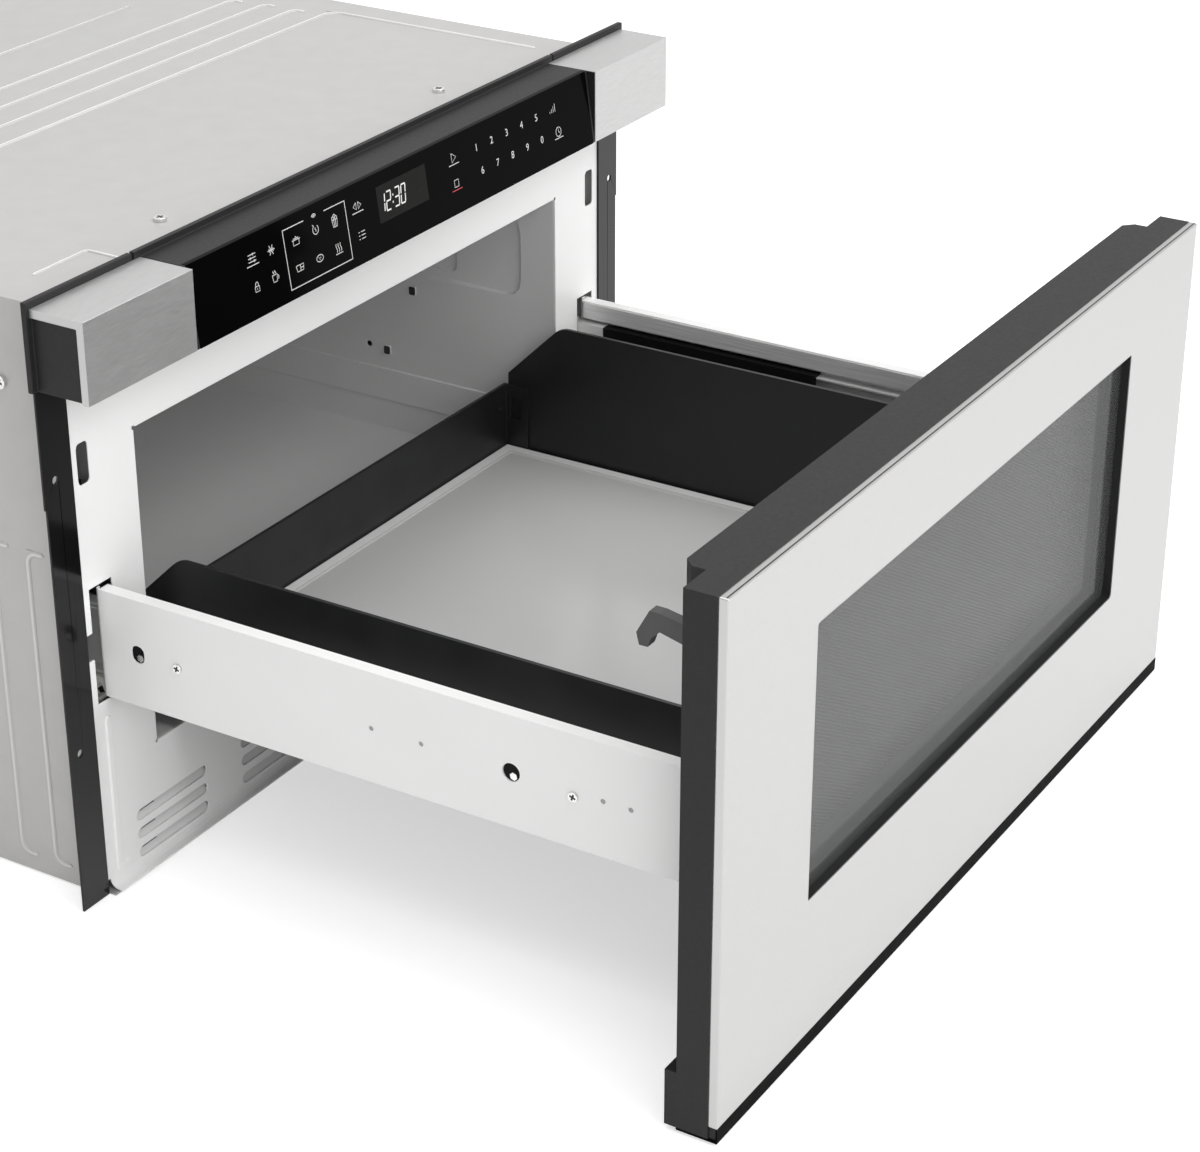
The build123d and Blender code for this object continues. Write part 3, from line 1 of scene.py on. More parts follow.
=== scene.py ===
import bpy
import math
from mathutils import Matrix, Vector


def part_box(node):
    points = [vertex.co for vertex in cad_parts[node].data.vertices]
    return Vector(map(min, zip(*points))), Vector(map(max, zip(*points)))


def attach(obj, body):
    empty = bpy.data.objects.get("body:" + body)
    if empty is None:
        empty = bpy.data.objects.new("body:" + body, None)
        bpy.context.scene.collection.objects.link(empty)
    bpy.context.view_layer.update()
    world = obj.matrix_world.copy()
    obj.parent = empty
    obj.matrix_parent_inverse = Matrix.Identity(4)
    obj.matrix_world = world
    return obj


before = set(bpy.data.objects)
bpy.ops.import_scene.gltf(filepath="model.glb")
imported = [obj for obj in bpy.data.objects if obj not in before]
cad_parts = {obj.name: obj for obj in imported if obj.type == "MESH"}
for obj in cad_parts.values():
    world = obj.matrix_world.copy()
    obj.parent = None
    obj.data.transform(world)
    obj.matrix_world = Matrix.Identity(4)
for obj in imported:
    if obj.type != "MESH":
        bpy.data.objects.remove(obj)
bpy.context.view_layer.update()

# ------------------------------------------------------------------ Studio
# The camera stands at the front left, above the drawer, where the photographer stood.
# A pale floor, a wide soft light at each front corner and one overhead make up the studio.

camera = bpy.data.objects.new("camera", bpy.data.cameras.new("camera"))
bpy.context.scene.collection.objects.link(camera)
camera.location = (-1.3784, -1.0090, 0.9487)
degrees_down, degrees_round = 26.7815, -58.684
camera.rotation_euler = (math.radians(90 - degrees_down), 0, math.radians(degrees_round))
camera.data.lens = 88.75
camera.data.sensor_width = 36
bpy.context.scene.camera = camera
bpy.context.scene.view_settings.view_transform = "Standard"


def softbox(name, place, aim, size, watts):
    """A square area lamp at place, turned to the point aim."""
    lamp = bpy.data.lights.new(name, "AREA")
    lamp.shape = "SQUARE"
    lamp.size = size
    lamp.energy = watts
    box = bpy.data.objects.new(name, lamp)
    bpy.context.scene.collection.objects.link(box)
    box.location = place
    box.rotation_mode = "QUATERNION"
    box.rotation_quaternion = (Vector(aim) - Vector(place)).to_track_quat("-Z", "Y")


def seen_by(tree, *rays):
    """1 where one of the named kinds of ray arrives, otherwise 0."""
    path = tree.nodes.new("ShaderNodeLightPath")
    seen = path.outputs[rays[0]]
    for ray in rays[1:]:
        either = tree.nodes.new("ShaderNodeMath")
        either.operation = "MAXIMUM"
        tree.links.new(seen, either.inputs[0])
        tree.links.new(path.outputs[ray], either.inputs[1])
        seen = either.outputs[0]
    return seen


softbox("softbox_above", (0.1, -0.1, 2.6), (0, 0, 0), 2.4, 32)
softbox("softbox_left", (-1.5, -2.3, 1.5), (0, -0.1, 0.15), 2.8, 43)
softbox("softbox_right", (0.7, -2.6, 1.5), (0, -0.2, 0.15), 2.8, 44)

world = bpy.data.worlds.new("studio_air")
world.use_nodes = True
bpy.context.scene.world = world
air = world.node_tree
soft_air = air.nodes["Background"]
soft_air.inputs["Color"].default_value = (1, 1, 1, 1)
soft_air.inputs["Strength"].default_value = 0.42
white_air = air.nodes.new("ShaderNodeBackground")
white_air.inputs["Color"].default_value = (1, 1, 1, 1)
white_air.inputs["Strength"].default_value = 1.0
either_air = air.nodes.new("ShaderNodeMixShader")
air.links.new(seen_by(air, "Is Camera Ray", "Is Glossy Ray", "Is Transmission Ray"), either_air.inputs[0])
air.links.new(soft_air.outputs[0], either_air.inputs[1])
air.links.new(white_air.outputs[0], either_air.inputs[2])
air.links.new(either_air.outputs[0], air.nodes["World Output"].inputs["Surface"])

reach = 30
floor_mesh = bpy.data.meshes.new("floor")
floor_mesh.from_pydata([(-reach, -reach, 0), (reach, -reach, 0), (reach, reach, 0), (-reach, reach, 0)], [],
                       [(0, 1, 2, 3)])
floor = bpy.data.objects.new("floor", floor_mesh)
floor.location.z = -0.0004
bpy.context.scene.collection.objects.link(floor)
floor_paint = bpy.data.materials.new("floor_paint")
floor_paint.use_nodes = True
paint = floor_paint.node_tree
paint.nodes["Principled BSDF"].inputs["Base Color"].default_value = (0.76, 0.76, 0.76, 1)
paint.nodes["Principled BSDF"].inputs["Roughness"].default_value = 0.9
glow = paint.nodes.new("ShaderNodeEmission")
glow.inputs["Strength"].default_value = 0.55
unlit = paint.nodes.new("ShaderNodeEmission")
unlit.inputs["Strength"].default_value = 0.0
glow_when_seen = paint.nodes.new("ShaderNodeMixShader")
paint.links.new(seen_by(paint, "Is Camera Ray", "Is Glossy Ray"), glow_when_seen.inputs[0])
paint.links.new(unlit.outputs[0], glow_when_seen.inputs[1])
paint.links.new(glow.outputs[0], glow_when_seen.inputs[2])
paint_and_glow = paint.nodes.new("ShaderNodeAddShader")
paint.links.new(paint.nodes["Principled BSDF"].outputs[0], paint_and_glow.inputs[0])
paint.links.new(glow_when_seen.outputs[0], paint_and_glow.inputs[1])
paint.links.new(paint_and_glow.outputs[0], paint.nodes["Material Output"].inputs["Surface"])
floor_mesh.materials.append(floor_paint)

# ------------------------------------------------------------------ Case
# One sheet of zinc-coated steel, folded over the top and both sides. Narrow beads are pressed
# outward in it to keep it stiff, and their crowns carry a painted highlight, brighter than the sheet.


def finish(name, colour, roughness, metal=0.0, specular=0.5):
    """A new material whose even values sit on its own shader."""
    material = bpy.data.materials.new(name)
    material.use_nodes = True
    shader = material.node_tree.nodes["Principled BSDF"]
    shader.inputs["Base Color"].default_value = (*colour, 1)
    shader.inputs["Roughness"].default_value = roughness
    shader.inputs["Metallic"].default_value = metal
    shader.inputs["Specular IOR Level"].default_value = specular
    return material


def mottle(material, scale, stretch=(1, 1, 1), detail=3.0):
    """Noise over the piece's own metres, drawn out along an axis whose stretch is small."""
    nodes, links = material.node_tree.nodes, material.node_tree.links
    place = nodes.new("ShaderNodeTexCoord")
    fit = nodes.new("ShaderNodeMapping")
    fit.inputs["Scale"].default_value = stretch
    noise = nodes.new("ShaderNodeTexNoise")
    noise.inputs["Scale"].default_value = scale
    noise.inputs["Detail"].default_value = detail
    links.new(place.outputs["Object"], fit.inputs["Vector"])
    links.new(fit.outputs["Vector"], noise.inputs["Vector"])
    return noise.outputs["Fac"]


def tint(material, source, dark, light, low=0.3, high=0.7):
    """The base colour runs from dark to light with the source."""
    nodes, links = material.node_tree.nodes, material.node_tree.links
    ramp = nodes.new("ShaderNodeValToRGB")
    ramp.color_ramp.elements[0].position = low
    ramp.color_ramp.elements[0].color = (*dark, 1)
    ramp.color_ramp.elements[1].position = high
    ramp.color_ramp.elements[1].color = (*light, 1)
    links.new(source, ramp.inputs["Fac"])
    links.new(ramp.outputs["Color"], nodes["Principled BSDF"].inputs["Base Color"])


def uneven_sheen(material, source, low, high):
    """The roughness runs from low to high with the source."""
    nodes, links = material.node_tree.nodes, material.node_tree.links
    spread = nodes.new("ShaderNodeMapRange")
    spread.inputs["From Min"].default_value = 0.3
    spread.inputs["From Max"].default_value = 0.7
    spread.inputs["To Min"].default_value = low
    spread.inputs["To Max"].default_value = high
    links.new(source, spread.inputs["Value"])
    links.new(spread.outputs["Result"], nodes["Principled BSDF"].inputs["Roughness"])


def relief(material, source, strength, distance):
    """Fine height from the source, distance being its depth in metres."""
    nodes, links = material.node_tree.nodes, material.node_tree.links
    bump = nodes.new("ShaderNodeBump")
    bump.inputs["Strength"].default_value = strength
    bump.inputs["Distance"].default_value = distance
    links.new(source, bump.inputs["Height"])
    links.new(bump.outputs["Normal"], nodes["Principled BSDF"].inputs["Normal"])


def dress(material, *names):
    """Gives CAD nodes their finish."""
    for name in names:
        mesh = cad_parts[name].data
        mesh.materials.clear()
        mesh.materials.append(material)


def soften(width, *names):
    """Eases the hard edges of CAD nodes, as folding, moulding and deburring leave them."""
    for name in names:
        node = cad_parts[name]
        weld = node.modifiers.new("weld", "WELD")
        weld.merge_threshold = 0.00001
        ease = node.modifiers.new("ease", "BEVEL")
        ease.width = width
        ease.segments = 2
        ease.limit_method = "ANGLE"
        ease.angle_limit = math.radians(40)


def new_piece(name, points, faces, material, body, smooth=False):
    """A mesh piece that rides on a body and takes the given finish."""
    mesh = bpy.data.meshes.new(name)
    mesh.from_pydata([tuple(point) for point in points], [], faces)
    mesh.materials.append(material)
    if smooth:
        mesh.shade_smooth()
    piece = bpy.data.objects.new(name, mesh)
    bpy.context.scene.collection.objects.link(piece)
    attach(piece, body)
    return piece


def rounded_line(corners, bend):
    """The points of a line whose inner corners are turned at radius bend."""
    corners = [Vector(corner) for corner in corners]
    line = [corners[0]]
    for before, corner, after in zip(corners, corners[1:], corners[2:]):
        to_before = (before - corner).normalized()
        to_after = (after - corner).normalized()
        for step in range(7):
            angle = math.pi / 2 * step / 6
            line.append(corner + to_before * bend * (1 - math.sin(angle))
                        + to_after * bend * (1 - math.cos(angle)))
    line.append(corners[-1])
    return line


def pressed_bead(name, corners, outward, crown, bend, half_width=0.00195, rise=0.00085):
    """A bead pressed out of the case along a line of square corners, its top in the crown's painted
    highlight.
    """
    line = rounded_line(corners, bend)
    outward = Vector(outward)
    section = ((-1, -0.12), (-0.88, 0.42), (-0.72, 0.72), (-0.38, 0.95), (0.38, 0.95), (0.72, 0.72),
               (0.88, 0.42), (1, -0.12))
    rings = []
    for k, point in enumerate(line):
        ahead = (line[min(k + 1, len(line) - 1)] - line[max(k - 1, 0)]).normalized()
        rings.append((point, ahead, 1.0))
    (start, start_way, _), (end, end_way, _) = rings[0], rings[-1]
    rings = ([(start - start_way * half_width * 0.8, start_way, 0.3)] + rings
             + [(end + end_way * half_width * 0.8, end_way, 0.3)])
    points, faces = [], []
    for point, ahead, share in rings:
        across = ahead.cross(outward)
        for offset, height in section:
            up = height * share if height > 0 else height
            points.append(point + across * offset * half_width * share + outward * up * rise)
    width = len(section)
    for ring in range(len(rings) - 1):
        for k in range(width - 1):
            first = ring * width + k
            faces.append((first, first + 1, first + width + 1, first + width))
    last = (len(rings) - 1) * width
    faces.append(tuple(range(width - 1, -1, -1)))
    faces.append(tuple(range(last, last + width)))
    piece = new_piece(name, points, faces, zinc_sheet, "cabinet", smooth=True)
    piece.data.materials.append(crown)
    for ring in range(len(rings) - 1):
        piece.data.polygons[ring * (width - 1) + width // 2 - 1].material_index = 1


zinc_sheet = finish("zinc_sheet", (0.49, 0.485, 0.473), 0.42, 0.15, 0.75)
tint(zinc_sheet, mottle(zinc_sheet, 60, detail=5), (0.48, 0.475, 0.463), (0.504, 0.499, 0.487))
uneven_sheen(zinc_sheet, mottle(zinc_sheet, 9, (1, 0.2, 1)), 0.36, 0.46)
relief(zinc_sheet, mottle(zinc_sheet, 800, detail=2), 0.12, 0.0001)
# The top beads' near-white crown colour is a painted highlight.
crown_painted_highlight = finish("crown_painted_highlight", (0.93, 0.925, 0.915), 0.24, 0.9)
uneven_sheen(crown_painted_highlight, mottle(crown_painted_highlight, 60), 0.18, 0.32)
# The side beads' crowns carry a fainter painted highlight.
side_crown_painted_highlight = finish("side_crown_painted_highlight", (0.60, 0.595, 0.58), 0.36, 0.4)
uneven_sheen(side_crown_painted_highlight, mottle(side_crown_painted_highlight, 60), 0.30, 0.42)
dress(zinc_sheet, "outer_case", "rear_panel")

case_half = 0.279
case_top = 0.3684
case_depth = 0.554
row_end = case_half - 0.0345
row_hook = 0.0085
side_hook = 0.0105
top_beads = [
    ("top_bead_short", [(-0.190, 0.3335), (0.190, 0.3335)], 0.00195, 0.005),
    ("top_bead_front", [(-0.252, 0.2048), (0.255, 0.2048), (0.255, 0.0374)], 0.00195, 0.010),
    ("top_bead_mark", [(-0.245, 0.042), (-0.201, 0.042), (-0.201, 0.0175)], 0.0014, 0.003)]
for number, (end, y) in enumerate(((row_end, 0.2299), (row_end, 0.2555), (row_end - 0.003, 0.2817))):
    top_beads.append((f"top_bead_{number + 1}",
                      [(-end, y - row_hook), (-end, y), (end, y), (end, y - row_hook)], 0.00195, 0.005))
for name, corners, half_width, bend in top_beads:
    pressed_bead(name, [(x, y, case_top) for x, y in corners], (0, 0, 1), crown_painted_highlight, bend, half_width)
bead_foot = 0.0125
bead_head = 0.216
for word, side in (("left", -1), ("right", 1)):
    x = side * case_half
    for number, row in enumerate((0.0348, 0.0605)):
        for end, y, hook in (("front", row, -side_hook), ("back", case_depth - row, side_hook)):
            pressed_bead(f"side_bead_{word}_{end}_{number + 1}",
                         [(x, y + hook, bead_foot), (x, y, bead_foot),
                          (x, y, bead_head), (x, y + hook, bead_head)],
                         (side, 0, 0), side_crown_painted_highlight, 0.007)

# ------------------------------------------------------------------ Screws
# Zinc-plated pan-head screws with cross recesses hold the case to the chassis and the rail
# covers to the slides.


def prism_faces(count):
    """The faces of a short prism whose points are its near outline and then its far one."""
    faces = [tuple(range(count)), tuple(range(2 * count - 1, count - 1, -1))]
    return faces + [(k, k + count, (k + 1) % count + count, (k + 1) % count) for k in range(count)]


def cross_recess(name, centre, outward, reach, body):
    """The dark cross driven into a screw's head, centred on its face."""
    centre, outward = Vector(centre), Vector(outward)
    side = Vector((0, 0, 1)) if abs(outward.z) < 0.5 else Vector((0, 1, 0))
    other = side.cross(outward)
    side, other = (side + other * 0.35).normalized(), (other - side * 0.35).normalized()
    arm = reach * 0.3
    outline = ((reach, arm), (arm, arm), (arm, reach), (-arm, reach), (-arm, arm), (-reach, arm),
               (-reach, -arm), (-arm, -arm), (-arm, -reach), (arm, -reach), (arm, -arm), (reach, -arm))
    points = [centre + side * u + other * v + outward * lift
              for lift in (0.00006, -0.0004) for u, v in outline]
    new_piece(name, points, prism_faces(len(outline)), recess_shadow, body)


bright_plate = finish("bright_plate", (0.72, 0.715, 0.70), 0.25, 1.0)
tint(bright_plate, mottle(bright_plate, 700), (0.60, 0.595, 0.58), (0.80, 0.795, 0.78))
relief(bright_plate, mottle(bright_plate, 1500, detail=1), 0.25, 0.0002)
dress(bright_plate, "case_screws", "cover_screws")
soften(0.0006, "case_screws", "cover_screws")
recess_shadow = finish("recess_shadow", (0.012, 0.012, 0.012), 0.5)
uneven_sheen(recess_shadow, mottle(recess_shadow, 900), 0.4, 0.6)

case_head = 0.0024
case_cross = 0.0022
for word, side in (("left", -1), ("right", 1)):
    cross_recess(f"case_screw_recess_top_{word}", (side * 0.1417, 0.0375, case_top + case_head),
                 (0, 0, 1), case_cross, "cabinet")
    cross_recess(f"case_screw_recess_side_{word}", (side * (case_half + case_head), 0.041, case_top - 0.0504),
                 (side, 0, 0), case_cross, "cabinet")

# ------------------------------------------------------------------ Base and brackets
# The base pan, the slide brackets, the latch brackets and the microwave duct are plain
# galvanised sheet, cut and folded. A black nylon bush lines the supply inlet in the back.

galvanised = finish("galvanised", (0.42, 0.42, 0.42), 0.5, 0.6)
tint(galvanised, mottle(galvanised, 60, detail=4), (0.36, 0.365, 0.37), (0.47, 0.47, 0.47))
uneven_sheen(galvanised, mottle(galvanised, 35), 0.42, 0.56)
relief(galvanised, mottle(galvanised, 900, detail=2), 0.2, 0.0001)
dress(galvanised, "base_pan", "slide_bracket_left", "slide_bracket_right",
      "latch_bracket_left", "latch_bracket_right", "waveguide")
black_nylon = finish("black_nylon", (0.02, 0.02, 0.021), 0.5)
uneven_sheen(black_nylon, mottle(black_nylon, 40), 0.42, 0.58)
relief(black_nylon, mottle(black_nylon, 2500, detail=2), 0.25, 0.00008)
dress(black_nylon, "cord_grommet", "fan_shroud", "fan_blade", "interlock_switches")

# ------------------------------------------------------------------ Front plate
# A pressed steel plate in white powder coat round the cavity's mouth, with a J-shaped bead in
# each lower corner. Each air slot has a vane bent in behind it, so that no finger reaches in.

white_powder = finish("white_powder", (0.90, 0.90, 0.895), 0.36)
tint(white_powder, mottle(white_powder, 14, detail=2), (0.89, 0.89, 0.885), (0.91, 0.91, 0.905))
uneven_sheen(white_powder, mottle(white_powder, 30), 0.32, 0.42)
relief(white_powder, mottle(white_powder, 1100, detail=2), 0.12, 0.0001)
dress(white_powder, "front_plate")
soften(0.0005, "front_plate")

plate_sheet = 0.0012
louvre_height = 0.007
louvre_rows = (0.036, 0.0235, 0.011)
louvre_spans = ((0.0790, 0.1450), (0.1789, 0.2448))
vane_depth = 0.0085
vane_sheet = 0.0007
vane_drop = 0.001
vane_overlap = 0.002
for word, side in (("left", -1), ("right", 1)):
    points, faces = [], []
    for z in louvre_rows:
        for inner, outer in louvre_spans:
            foot = z - louvre_height / 2 - vane_drop
            head = z + louvre_height / 2
            profile = ((plate_sheet, foot), (vane_depth, head), (vane_depth, head + vane_sheet),
                       (plate_sheet, foot + vane_sheet))
            first = len(points)
            for x in (side * (inner - vane_overlap), side * (outer + vane_overlap)):
                points += [(x, y, height) for y, height in profile]
            for k in range(4):
                after = (k + 1) % 4
                faces.append((first + k, first + after, first + 4 + after, first + 4 + k))
            faces.append((first + 3, first + 2, first + 1, first))
            faces.append((first + 4, first + 5, first + 6, first + 7))
    new_piece(f"louvre_vanes_{word}", points, faces, white_powder, "cabinet")

# ------------------------------------------------------------------ Mounting strips
# Flat steel strips in gloss black paint, drilled for the screws into the kitchen cabinet. The
# trim under the drawer front has a duller, deeper black of its own.

black_gloss = finish("black_gloss", (0.006, 0.006, 0.0063), 0.13, 0.0, 0.3)
tint(black_gloss, mottle(black_gloss, 25), (0.005, 0.005, 0.0052), (0.008, 0.008, 0.0083))
uneven_sheen(black_gloss, mottle(black_gloss, 45), 0.10, 0.18)
relief(black_gloss, mottle(black_gloss, 400, detail=2), 0.05, 0.00005)
dress(black_gloss, "mounting_strip_left", "mounting_strip_right")
trim_black = finish("trim_black", (0.003, 0.003, 0.0032), 0.45, 0.0, 0.01)
uneven_sheen(trim_black, mottle(trim_black, 200), 0.4, 0.5)
dress(trim_black, "bottom_trim")
soften(0.0003, "mounting_strip_left", "mounting_strip_right", "bottom_trim")

# ------------------------------------------------------------------ End blocks
# Each end of the control panel is a dark moulded block under a brushed stainless cap, which is
# folded over its top and front and hemmed at the outer end.

dark_moulding = finish("dark_moulding", (0.0165, 0.0165, 0.017), 0.5, 0.0, 0.22)
tint(dark_moulding, mottle(dark_moulding, 400), (0.0155, 0.0155, 0.016), (0.018, 0.018, 0.0185))
uneven_sheen(dark_moulding, mottle(dark_moulding, 500), 0.46, 0.54)
relief(dark_moulding, mottle(dark_moulding, 3000, detail=2), 0.25, 0.00006)
dress(dark_moulding, "end_block_left", "end_block_right", "panel_housing")
soften(0.0006, "end_block_left", "end_block_right", "panel_housing")


def brushed(material, dark, light, smooth, rough):
    """Fine belt-ground scratches along the width: streaks in tone, in sheen and in height."""
    streaks = mottle(material, 3000, (0.04, 1, 1), 2)
    tint(material, streaks, dark, light)
    uneven_sheen(material, streaks, smooth, rough)
    relief(material, mottle(material, 4500, (0.03, 1, 1), 1), 0.06, 0.00003)


cap_steel = finish("cap_steel", (0.52, 0.52, 0.518), 0.36, 0.7)
brushed(cap_steel, (0.47, 0.47, 0.468), (0.55, 0.55, 0.548), 0.32, 0.42)
dress(cap_steel, "end_cap_left", "end_cap_right")
soften(0.0005, "end_cap_left", "end_cap_right")

# ------------------------------------------------------------------ Control panel
# The touch glass is black on its back and lies in a moulded housing. Digits, rules and small
# pictures of each key's work are printed in pale ink, and a clock shines through a smoked patch.

black_glass = finish("black_glass", (0.002, 0.002, 0.0022), 0.1, 0.0, 0.015)
uneven_sheen(black_glass, mottle(black_glass, 18), 0.06, 0.12)
dress(black_glass, "control_glass")
soften(0.0004, "control_glass")
smoked_patch = finish("smoked_patch", (0.009, 0.0085, 0.008), 0.3, 0.0, 0.05)
uneven_sheen(smoked_patch, mottle(smoked_patch, 60), 0.25, 0.35)
pale_ink = finish("pale_ink", (0.62, 0.62, 0.61), 0.5)
tint(pale_ink, mottle(pale_ink, 900), (0.58, 0.58, 0.57), (0.66, 0.66, 0.65))
red_ink = finish("red_ink", (0.42, 0.03, 0.04), 0.5)
tint(red_ink, mottle(red_ink, 900), (0.38, 0.025, 0.035), (0.46, 0.035, 0.045))
lit_segment = finish("lit_segment", (0.8, 0.8, 0.78), 0.4)
tint(lit_segment, mottle(lit_segment, 700), (0.76, 0.76, 0.74), (0.84, 0.84, 0.82))

glass_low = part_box("control_glass")[0]
glass_fall = 0.0066
glass_lean = math.atan2(glass_fall, 0.0476)
glass_turn = (math.pi / 2 - glass_lean, 0, 0)
ink_depth = 0.00005


def on_glass(x, z, lift=0.0):
    """The point of the glass's sloping face at x and height z, lifted off it."""
    y = glass_low.y + math.tan(glass_lean) * (z - glass_low.z)
    return Vector((x, y - lift * math.cos(glass_lean), z + lift * math.sin(glass_lean)))


def printed_digit(digit, x, z):
    """One plain digit in pale ink, centred on the glass at x and z."""
    text = bpy.data.curves.new("key_" + digit, "FONT")
    text.body = digit
    text.size = 0.0066
    text.align_x = "CENTER"
    text.align_y = "CENTER"
    text.extrude = ink_depth
    text.resolution_u = 4
    text.materials.append(pale_ink)
    piece = bpy.data.objects.new("key_" + digit, text)
    bpy.context.scene.collection.objects.link(piece)
    piece.location = on_glass(x, z, ink_depth)
    piece.rotation_euler = glass_turn
    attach(piece, "cabinet")


def printed_bars(name, bars, ink, lift=0.0001, slant=0.0):
    """Flat printed bars, each by its centre x and z, its width and its height."""
    points, faces = [], []
    for x, z, width, height in bars:
        first = len(points)
        for off in (0.00002, lift):
            for across, up in ((-1, -1), (1, -1), (1, 1), (-1, 1)):
                lean = slant * up * height / 2
                points.append(on_glass(x + across * width / 2 + lean, z + up * height / 2, off))
        a, b, c, d, e, f, g, h = range(first, first + 8)
        faces += [(e, f, g, h), (d, c, b, a), (a, b, f, e), (b, c, g, f), (c, d, h, g), (d, a, e, h)]
    new_piece(name, points, faces, ink, "cabinet")


def printed_picture(name, lines, x, z, half_size, ink):
    """A little line drawing on the glass; each line is a list of points from -1 to 1."""
    drawing = bpy.data.curves.new(name, "CURVE")
    drawing.dimensions = "3D"
    drawing.bevel_depth = 0.00027
    drawing.bevel_resolution = 1
    drawing.use_fill_caps = True
    for line in lines:
        stroke = drawing.splines.new("POLY")
        stroke.points.add(len(line) - 1)
        for point, (u, v) in zip(stroke.points, line):
            point.co = (u * half_size, v * half_size, 0, 1)
    drawing.materials.append(ink)
    piece = bpy.data.objects.new(name, drawing)
    bpy.context.scene.collection.objects.link(piece)
    piece.location = on_glass(x, z, ink_depth)
    piece.rotation_euler = glass_turn
    piece.scale = (1, 1, 0.2)
    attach(piece, "cabinet")


def turn(u, v, radius, start=0, sweep=360, flat=1.0):
    """Points round an arc, for a drawing."""
    steps = max(4, round(sweep / 24))
    return [(u + radius * math.cos(math.radians(start + sweep * k / steps)),
             v + flat * radius * math.sin(math.radians(start + sweep * k / steps))) for k in range(steps + 1)]


def wave(u, low, high):
    """An upright wavy stroke, for steam."""
    return [(u + 0.13 * math.sin(2 * math.pi * k / 8), low + (high - low) * k / 8) for k in range(9)]


first_key_x, first_key_z = 0.0754, 0.3622
key_pitch, row_drop, row_shift = 0.0172, 0.0152, 0.0036
for place, digit in enumerate("1234567890"):
    column, row = place % 5, place // 5
    printed_digit(digit, first_key_x + key_pitch * column + row_shift * row, first_key_z - row_drop * row)

snow = [[(-0.9, 0), (0.9, 0)], [(-0.45, -0.78), (0.45, 0.78)], [(-0.45, 0.78), (0.45, -0.78)],
        [(-0.55, 0.28), (-0.35, 0), (-0.55, -0.28)], [(0.55, 0.28), (0.35, 0), (0.55, -0.28)]]
sliders = [[(-1, 0.6), (1, 0.6)], [(0.3, 0.82), (0.3, 0.38)], [(-1, 0), (1, 0)],
           [(-0.4, 0.22), (-0.4, -0.22)], [(-1, -0.6), (1, -0.6)], [(0.55, -0.38), (0.55, -0.82)]]
cup = [[(-0.8, 0.3), (-0.6, -0.9), (0.35, -0.9), (0.55, 0.3), (-0.8, 0.3)],
       turn(0.55, -0.25, 0.35, -70, 140), wave(-0.4, 0.5, 1.0), wave(0.1, 0.5, 1.0)]
pot = [[(-0.8, 0.1), (-0.8, -0.8), (0.8, -0.8), (0.8, 0.1)], [(-1.1, 0.1), (1.1, 0.1)],
       [(-0.7, 0.35), (0.7, 0.35)], [(-0.15, 0.6), (0.15, 0.6)]]
again = [turn(0, 0, 0.8, 120, 290), [(-0.75, 1.0), (-0.4, 0.7), (-0.75, 0.35)], wave(0, -0.35, 0.35)]
box_of_puffs = [[(-0.7, 0.2), (-0.5, -0.95), (0.5, -0.95), (0.7, 0.2), (-0.7, 0.2)],
                [(-0.22, 0.2), (-0.17, -0.95)], [(0.22, 0.2), (0.17, -0.95)],
                turn(-0.4, 0.5, 0.28), turn(0.35, 0.5, 0.28), turn(0, 0.78, 0.28)]
tray = [[(-1, 0.5), (1, 0.5), (0.8, -0.5), (-0.8, -0.5), (-1, 0.5)],
        [(0.1, 0.5), (0.1, -0.5)], [(0.1, 0), (0.9, 0)]]
potato = [turn(0, -0.1, 0.95, flat=0.62), [(-0.35, 0.1), (-0.2, -0.05)],
          [(0.15, 0.05), (0.3, -0.1)], [(-0.1, -0.35), (0.05, -0.25)]]
steam = [wave(-0.6, -0.7, 0.8), wave(0, -0.7, 0.8), wave(0.6, -0.7, 0.8), [(-1, -1), (1, -1)]]
arrows = [[(-0.25, 0.55), (-1, 0), (-0.25, -0.55), (-0.25, 0.55)],
          [(0.25, 0.55), (1, 0), (0.25, -0.55), (0.25, 0.55)]]
list_of_more = [[(left, v), (right, v)] for left, right in ((-0.9, -0.6), (-0.2, 0.9))
                for v in (0.6, 0, -0.6)]
go = [[(-0.55, 0.85), (0.85, 0), (-0.55, -0.85), (-0.55, 0.85)]]
stop = [[(-0.7, 0.7), (0.7, 0.7), (0.7, -0.7), (-0.7, -0.7), (-0.7, 0.7)]]
steps_up = [[(u, -0.8), (u, top)] for u, top in ((-0.9, -0.4), (-0.3, 0), (0.3, 0.4), (0.9, 0.8))]
dial = [turn(0, 0, 0.9), [(0, 0.55), (0, 0), (0.4, -0.25)]]
padlock = [[(-0.6, 0.05), (0.6, 0.05), (0.6, -0.9), (-0.6, -0.9), (-0.6, 0.05)],
           [(-0.4, 0.05)] + turn(0, 0.45, 0.4, 180, -180) + [(0.4, 0.05)], [(0, -0.3), (0, -0.55)]]
picture_scale = 1.3
